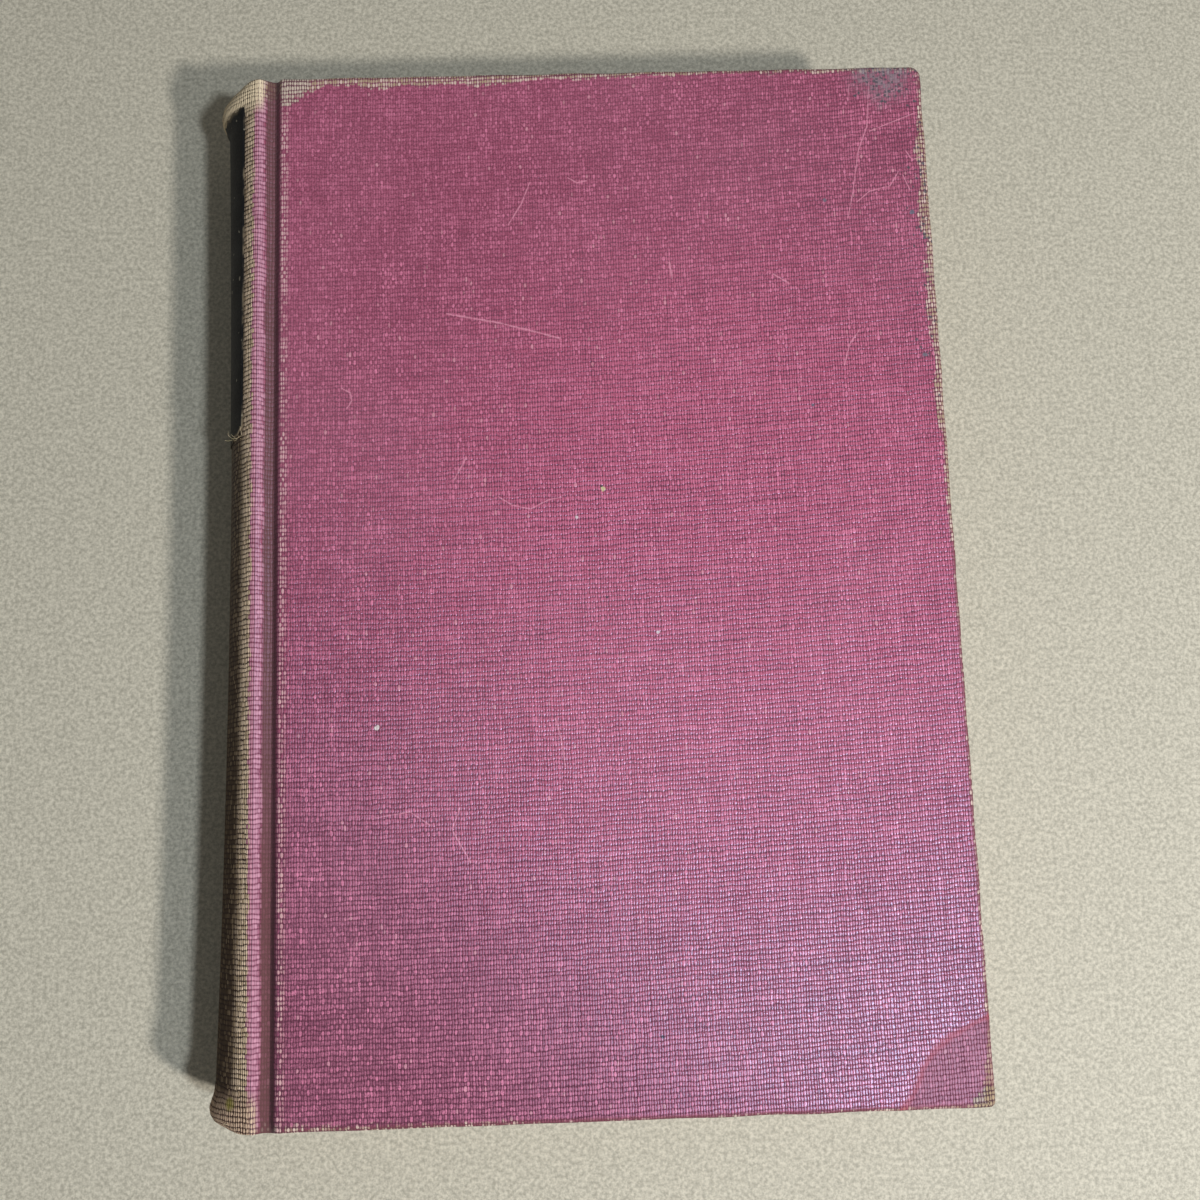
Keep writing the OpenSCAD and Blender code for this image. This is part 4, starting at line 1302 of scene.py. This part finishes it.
def pages_material():
    """Aged page edges: a line for each leaf, browner and dustier in places."""
    material, t, shader = new_material("aged_page_edges")
    at = t.object_coords()
    x, y, z = t.split(at)
    lines = t.noise(t.vector(t.mul(x, 18.0), t.mul(y, 18.0), t.mul(z, 5200.0)), 1.0, 3.0)
    bands = t.noise(t.vector(t.mul(x, 6.0), t.mul(y, 6.0), t.mul(z, 620.0)), 1.0, 2.0)
    paper = use(t, FIBRE, At=at, Fibre=1400.0, Cloud=26.0)
    base = mix(t, t.ramp(lines, 0.3, 0.7), colour(0.40, 0.29, 0.165), colour(0.66, 0.54, 0.36))
    base = mix(t, t.mul(t.ramp(bands, 0.5, 0.72), 0.45), base, colour(0.34, 0.235, 0.125))
    base = mix(t, t.mul(t.ramp(paper["Cloud"], 0.4, 0.7), 0.4), base, colour(0.43, 0.31, 0.18))
    base = mix(t, t.mul(paper["Spot"], 0.4), base, colour(0.27, 0.155, 0.07))
    t.put(shader.inputs["Base Color"], base)
    shader.inputs["Roughness"].default_value = 0.85
    add_relief(t, shader, lines, 0.0001, 0.6)
    return material


def endpaper_material():
    """Plain aged paper, browned towards its edges and along the fold."""
    material, t, shader = new_material("toned_endpaper")
    cloth = t.cloth_coords()
    place = t.node("ShaderNodeVectorMath", cloth, operation="SCALE")
    place.inputs["Scale"].default_value = MM
    paper = use(t, FIBRE, At=place, Fibre=1500.0, Cloud=24.0)
    u, v = t.split(cloth)[:2]
    edge = t.math("MINIMUM", t.sub(FORE_X - 3.0, u), t.sub(HALF_H - 3.0, t.math("ABSOLUTE", v)))
    edge = t.math("MINIMUM", edge, t.sub(u, CREASE_X))
    toned = t.ramp(t.add(edge, t.mul(t.sub(paper["Cloud"], 0.5), 26.0)), 0.0, 22.0, 1.0, 0.0)
    base = mix(t, t.ramp(paper["Fibre"], 0.3, 0.7), colour(0.62, 0.53, 0.38), colour(0.71, 0.62, 0.46))
    base = mix(t, t.mul(toned, 0.65), base, colour(0.46, 0.335, 0.195))
    base = mix(t, t.mul(t.ramp(paper["Cloud"], 0.45, 0.75), 0.25), base, colour(0.50, 0.385, 0.24))
    base = mix(t, t.mul(paper["Spot"], 0.28), base, colour(0.36, 0.215, 0.10))
    t.put(shader.inputs["Base Color"], base)
    shader.inputs["Roughness"].default_value = 0.82
    add_relief(t, shader, paper["Fibre"], 0.00008, 0.25)
    return material


def band_material():
    """Thread of the bands, striped in two worn colours."""
    material, t, shader = new_material("striped_band_thread")
    stripe = t.node("ShaderNodeAttribute", attribute_name="stripe").outputs["Fac"]
    odd = t.math("FLOORED_MODULO", stripe, 2.0)
    at = t.object_coords()
    lint = t.noise(at, 2400.0, 3.0)
    base = mix(t, odd, colour(0.60, 0.52, 0.38), colour(0.30, 0.075, 0.105))
    base = mix(t, t.mul(lint, 0.5), base, colour(0.34, 0.26, 0.17))
    t.put(shader.inputs["Base Color"], base)
    shader.inputs["Roughness"].default_value = 0.75
    add_relief(t, shader, lint, 0.00008)
    return material


def fray_material():
    """Undyed tan thread, a little green with age."""
    material, t, shader = new_material("bare_thread")
    at = t.object_coords()
    lint = t.noise(at, 700.0, 2.0)
    base = mix(t, t.ramp(lint, 0.35, 0.65), colour(0.30, 0.27, 0.15), colour(0.58, 0.46, 0.31))
    t.put(shader.inputs["Base Color"], base)
    t.put(shader.inputs["Roughness"], t.ramp(lint, 0.3, 0.7, 0.6, 0.8))
    return material


def pulp_material(name, dark, light, fibre, rough):
    """Board, card or kraft paper: pressed fibre in two tones."""
    material, t, shader = new_material(name)
    at = t.object_coords()
    paper = use(t, FIBRE, At=at, Fibre=fibre, Cloud=60.0)
    base = mix(t, t.ramp(paper["Fibre"], 0.3, 0.7), colour(*dark), colour(*light))
    base = mix(t, t.mul(paper["Cloud"], 0.4), base, colour(*dark))
    t.put(shader.inputs["Base Color"], base)
    shader.inputs["Roughness"].default_value = rough
    add_relief(t, shader, paper["Fibre"], 0.0001, 0.4)
    return material


def gauze_material():
    """Stiff open gauze, sized with glue."""
    material, t, shader = new_material("sized_gauze")
    at = t.object_coords()
    place = t.node("ShaderNodeVectorMath", at, operation="SCALE")
    place.inputs["Scale"].default_value = 1000.0
    y, z = t.split(place.outputs[0])[1:]
    weave = use(t, WEAVE, At=t.vector(z, y), Warp_Pitch=1.1, Weft_Pitch=1.1, Wander=0.3)
    base = mix(t, t.ramp(weave["Height"], 0.2, 0.8), colour(0.36, 0.29, 0.18), colour(0.70, 0.65, 0.52))
    t.put(shader.inputs["Base Color"], base)
    shader.inputs["Roughness"].default_value = 0.8
    add_relief(t, shader, weave["Height"], 0.0001)
    return material


def dress_node(node, material):
    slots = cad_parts[node].data.materials
    slots.clear()
    slots.append(material)


# Stage

FLOOR = colour(0.64, 0.60, 0.495)
FLOOR_GRAIN = colour(0.335, 0.315, 0.255)
BACKDROP = colour(0.47, 0.455, 0.42)
FLOOR_HALF = 8.0
FLOOR_LEVEL = -0.0001
FLOOR_ENDS = (0.22, 0.6)
CAMERA_LENS = 41.91
CAMERA_PLACE = (-0.00254, -0.04962, 0.29160)
CAMERA_TURN = (9.3237, -1.0544, -1.8085)
LAMP_TARGET = (0.0, 0.0, 0.02)
LOW_LAMP = (0.47, -0.386, 0.70)
HIGH_LAMP = (0.296, -0.236, 0.748)
SOFT_LIGHT = 0.13


def add_floor():
    """Pale floor that runs out into the backdrop's colour, so that no horizon shows."""
    material, t, shader = new_material("pale_floor")
    at = t.object_coords()
    grain = t.node("ShaderNodeTexNoise", at, None, 1300.0, 6.0, 0.7).outputs[0]
    t.put(shader.inputs["Base Color"], mix(t, t.ramp(grain, 0.3, 0.7), FLOOR_GRAIN, FLOOR))
    shader.inputs["Roughness"].default_value = 0.65
    far = t.ramp(t.node("ShaderNodeVectorMath", at, operation="LENGTH").outputs["Value"], *FLOOR_ENDS)
    seen = t.node("ShaderNodeLightPath").outputs["Is Camera Ray"]
    away = t.node("ShaderNodeEmission", BACKDROP, 1.0)
    out = material.node_tree.nodes["Material Output"].inputs[0]
    t.put(out, t.node("ShaderNodeMixShader", t.mul(far, seen), shader, away))
    mesh = bpy.data.meshes.new("floor")
    corners = ((-1, -1), (1, -1), (1, 1), (-1, 1))
    mesh.from_pydata([(x * FLOOR_HALF, y * FLOOR_HALF, FLOOR_LEVEL) for x, y in corners], [], [(0, 1, 2, 3)])
    mesh.materials.append(material)
    floor = bpy.data.objects.new("floor", mesh)
    bpy.context.scene.collection.objects.link(floor)


def add_camera():
    camera = bpy.data.cameras.new("photo_camera")
    camera.sensor_width = 36.0
    camera.lens = CAMERA_LENS
    camera.clip_start = 0.01
    holder = bpy.data.objects.new("photo_camera", camera)
    holder.location = CAMERA_PLACE
    holder.rotation_euler = Euler([math.radians(a) for a in CAMERA_TURN], "XYZ")
    bpy.context.scene.collection.objects.link(holder)
    bpy.context.scene.camera = holder


def add_lamp(name, place, size, power, tint):
    lamp = bpy.data.lights.new(name, "AREA")
    lamp.shape = "DISK"
    lamp.size = size
    lamp.energy = power
    lamp.color = tint
    holder = bpy.data.objects.new(name, lamp)
    holder.location = place
    way = np.array(LAMP_TARGET, float) - np.array(place, float)
    tilt = math.atan2(math.hypot(way[0], way[1]), -way[2])
    holder.rotation_euler = Euler((tilt, 0.0, math.atan2(way[1], way[0]) - math.pi / 2), "XYZ")
    bpy.context.scene.collection.objects.link(holder)


def add_light():
    add_lamp("low_lamp", LOW_LAMP, 0.07, 5.5, (1.0, 0.96, 0.91))
    add_lamp("high_lamp", HIGH_LAMP, 0.06, 3.0, (0.89, 0.98, 1.05))
    world = bpy.data.worlds.new("studio")
    world.use_nodes = True
    world.node_tree.nodes.clear()
    t = Tree(world.node_tree)
    rays = t.node("ShaderNodeLightPath").outputs
    seen = most(t, [rays["Is Camera Ray"], rays["Is Glossy Ray"], rays["Is Transmission Ray"]])
    soft = t.node("ShaderNodeBackground", colour(1.0, 1.0, 0.95), SOFT_LIGHT)
    backdrop = t.node("ShaderNodeBackground", BACKDROP, 1.0)
    t.node("ShaderNodeOutputWorld", t.node("ShaderNodeMixShader", seen, soft, backdrop))
    bpy.context.scene.world = world


def build():
    front = cloth_material("front_book_cloth", (0.0, 0.0, 0.0), FRONT_SCRATCHES, True, COVER_GLOSS)
    back = cloth_material("back_book_cloth", (311.0, 173.0, 0.0), BACK_SCRATCHES, False, COVER_GLOSS)
    spine = cloth_material("spine_book_cloth", (0.0, 0.0, 0.0), [], False, SPINE_GLOSS)
    paper = endpaper_material()
    add_cover_cloth("front_cloth_sheet", 1, "front_cloth", front)
    add_cover_cloth("back_cloth_sheet", -1, "back_cloth", back)
    add_spine_cloth(spine)
    add_label(label_material())
    add_endpaper("front_endpaper", 1, ["front_flyleaf", "front_pastedown"], paper)
    add_endpaper("back_endpaper", -1, ["back_flyleaf", "back_pastedown"], paper)
    add_pages(pages_material())
    band = band_material()
    add_bands(band)
    add_loose_threads(fray_material())
    board = pulp_material("binding_board", (0.25, 0.22, 0.165), (0.36, 0.325, 0.25), 1100.0, 0.85)
    kraft = pulp_material("kraft_lining", (0.30, 0.195, 0.10), (0.42, 0.28, 0.15), 1500.0, 0.8)
    card = pulp_material("spine_card", (0.28, 0.22, 0.145), (0.38, 0.31, 0.21), 1300.0, 0.8)
    for node in ("front_board", "back_board"):
        dress_node(node, board)
    dress_node("back_lining", kraft)
    dress_node("spine_inlay", card)
    dress_node("mull", gauze_material())
    dress_node("head_band", band)
    dress_node("tail_band", band)


bpy.context.scene.view_settings.view_transform = "Standard"
add_camera()
add_light()
add_floor()
build()
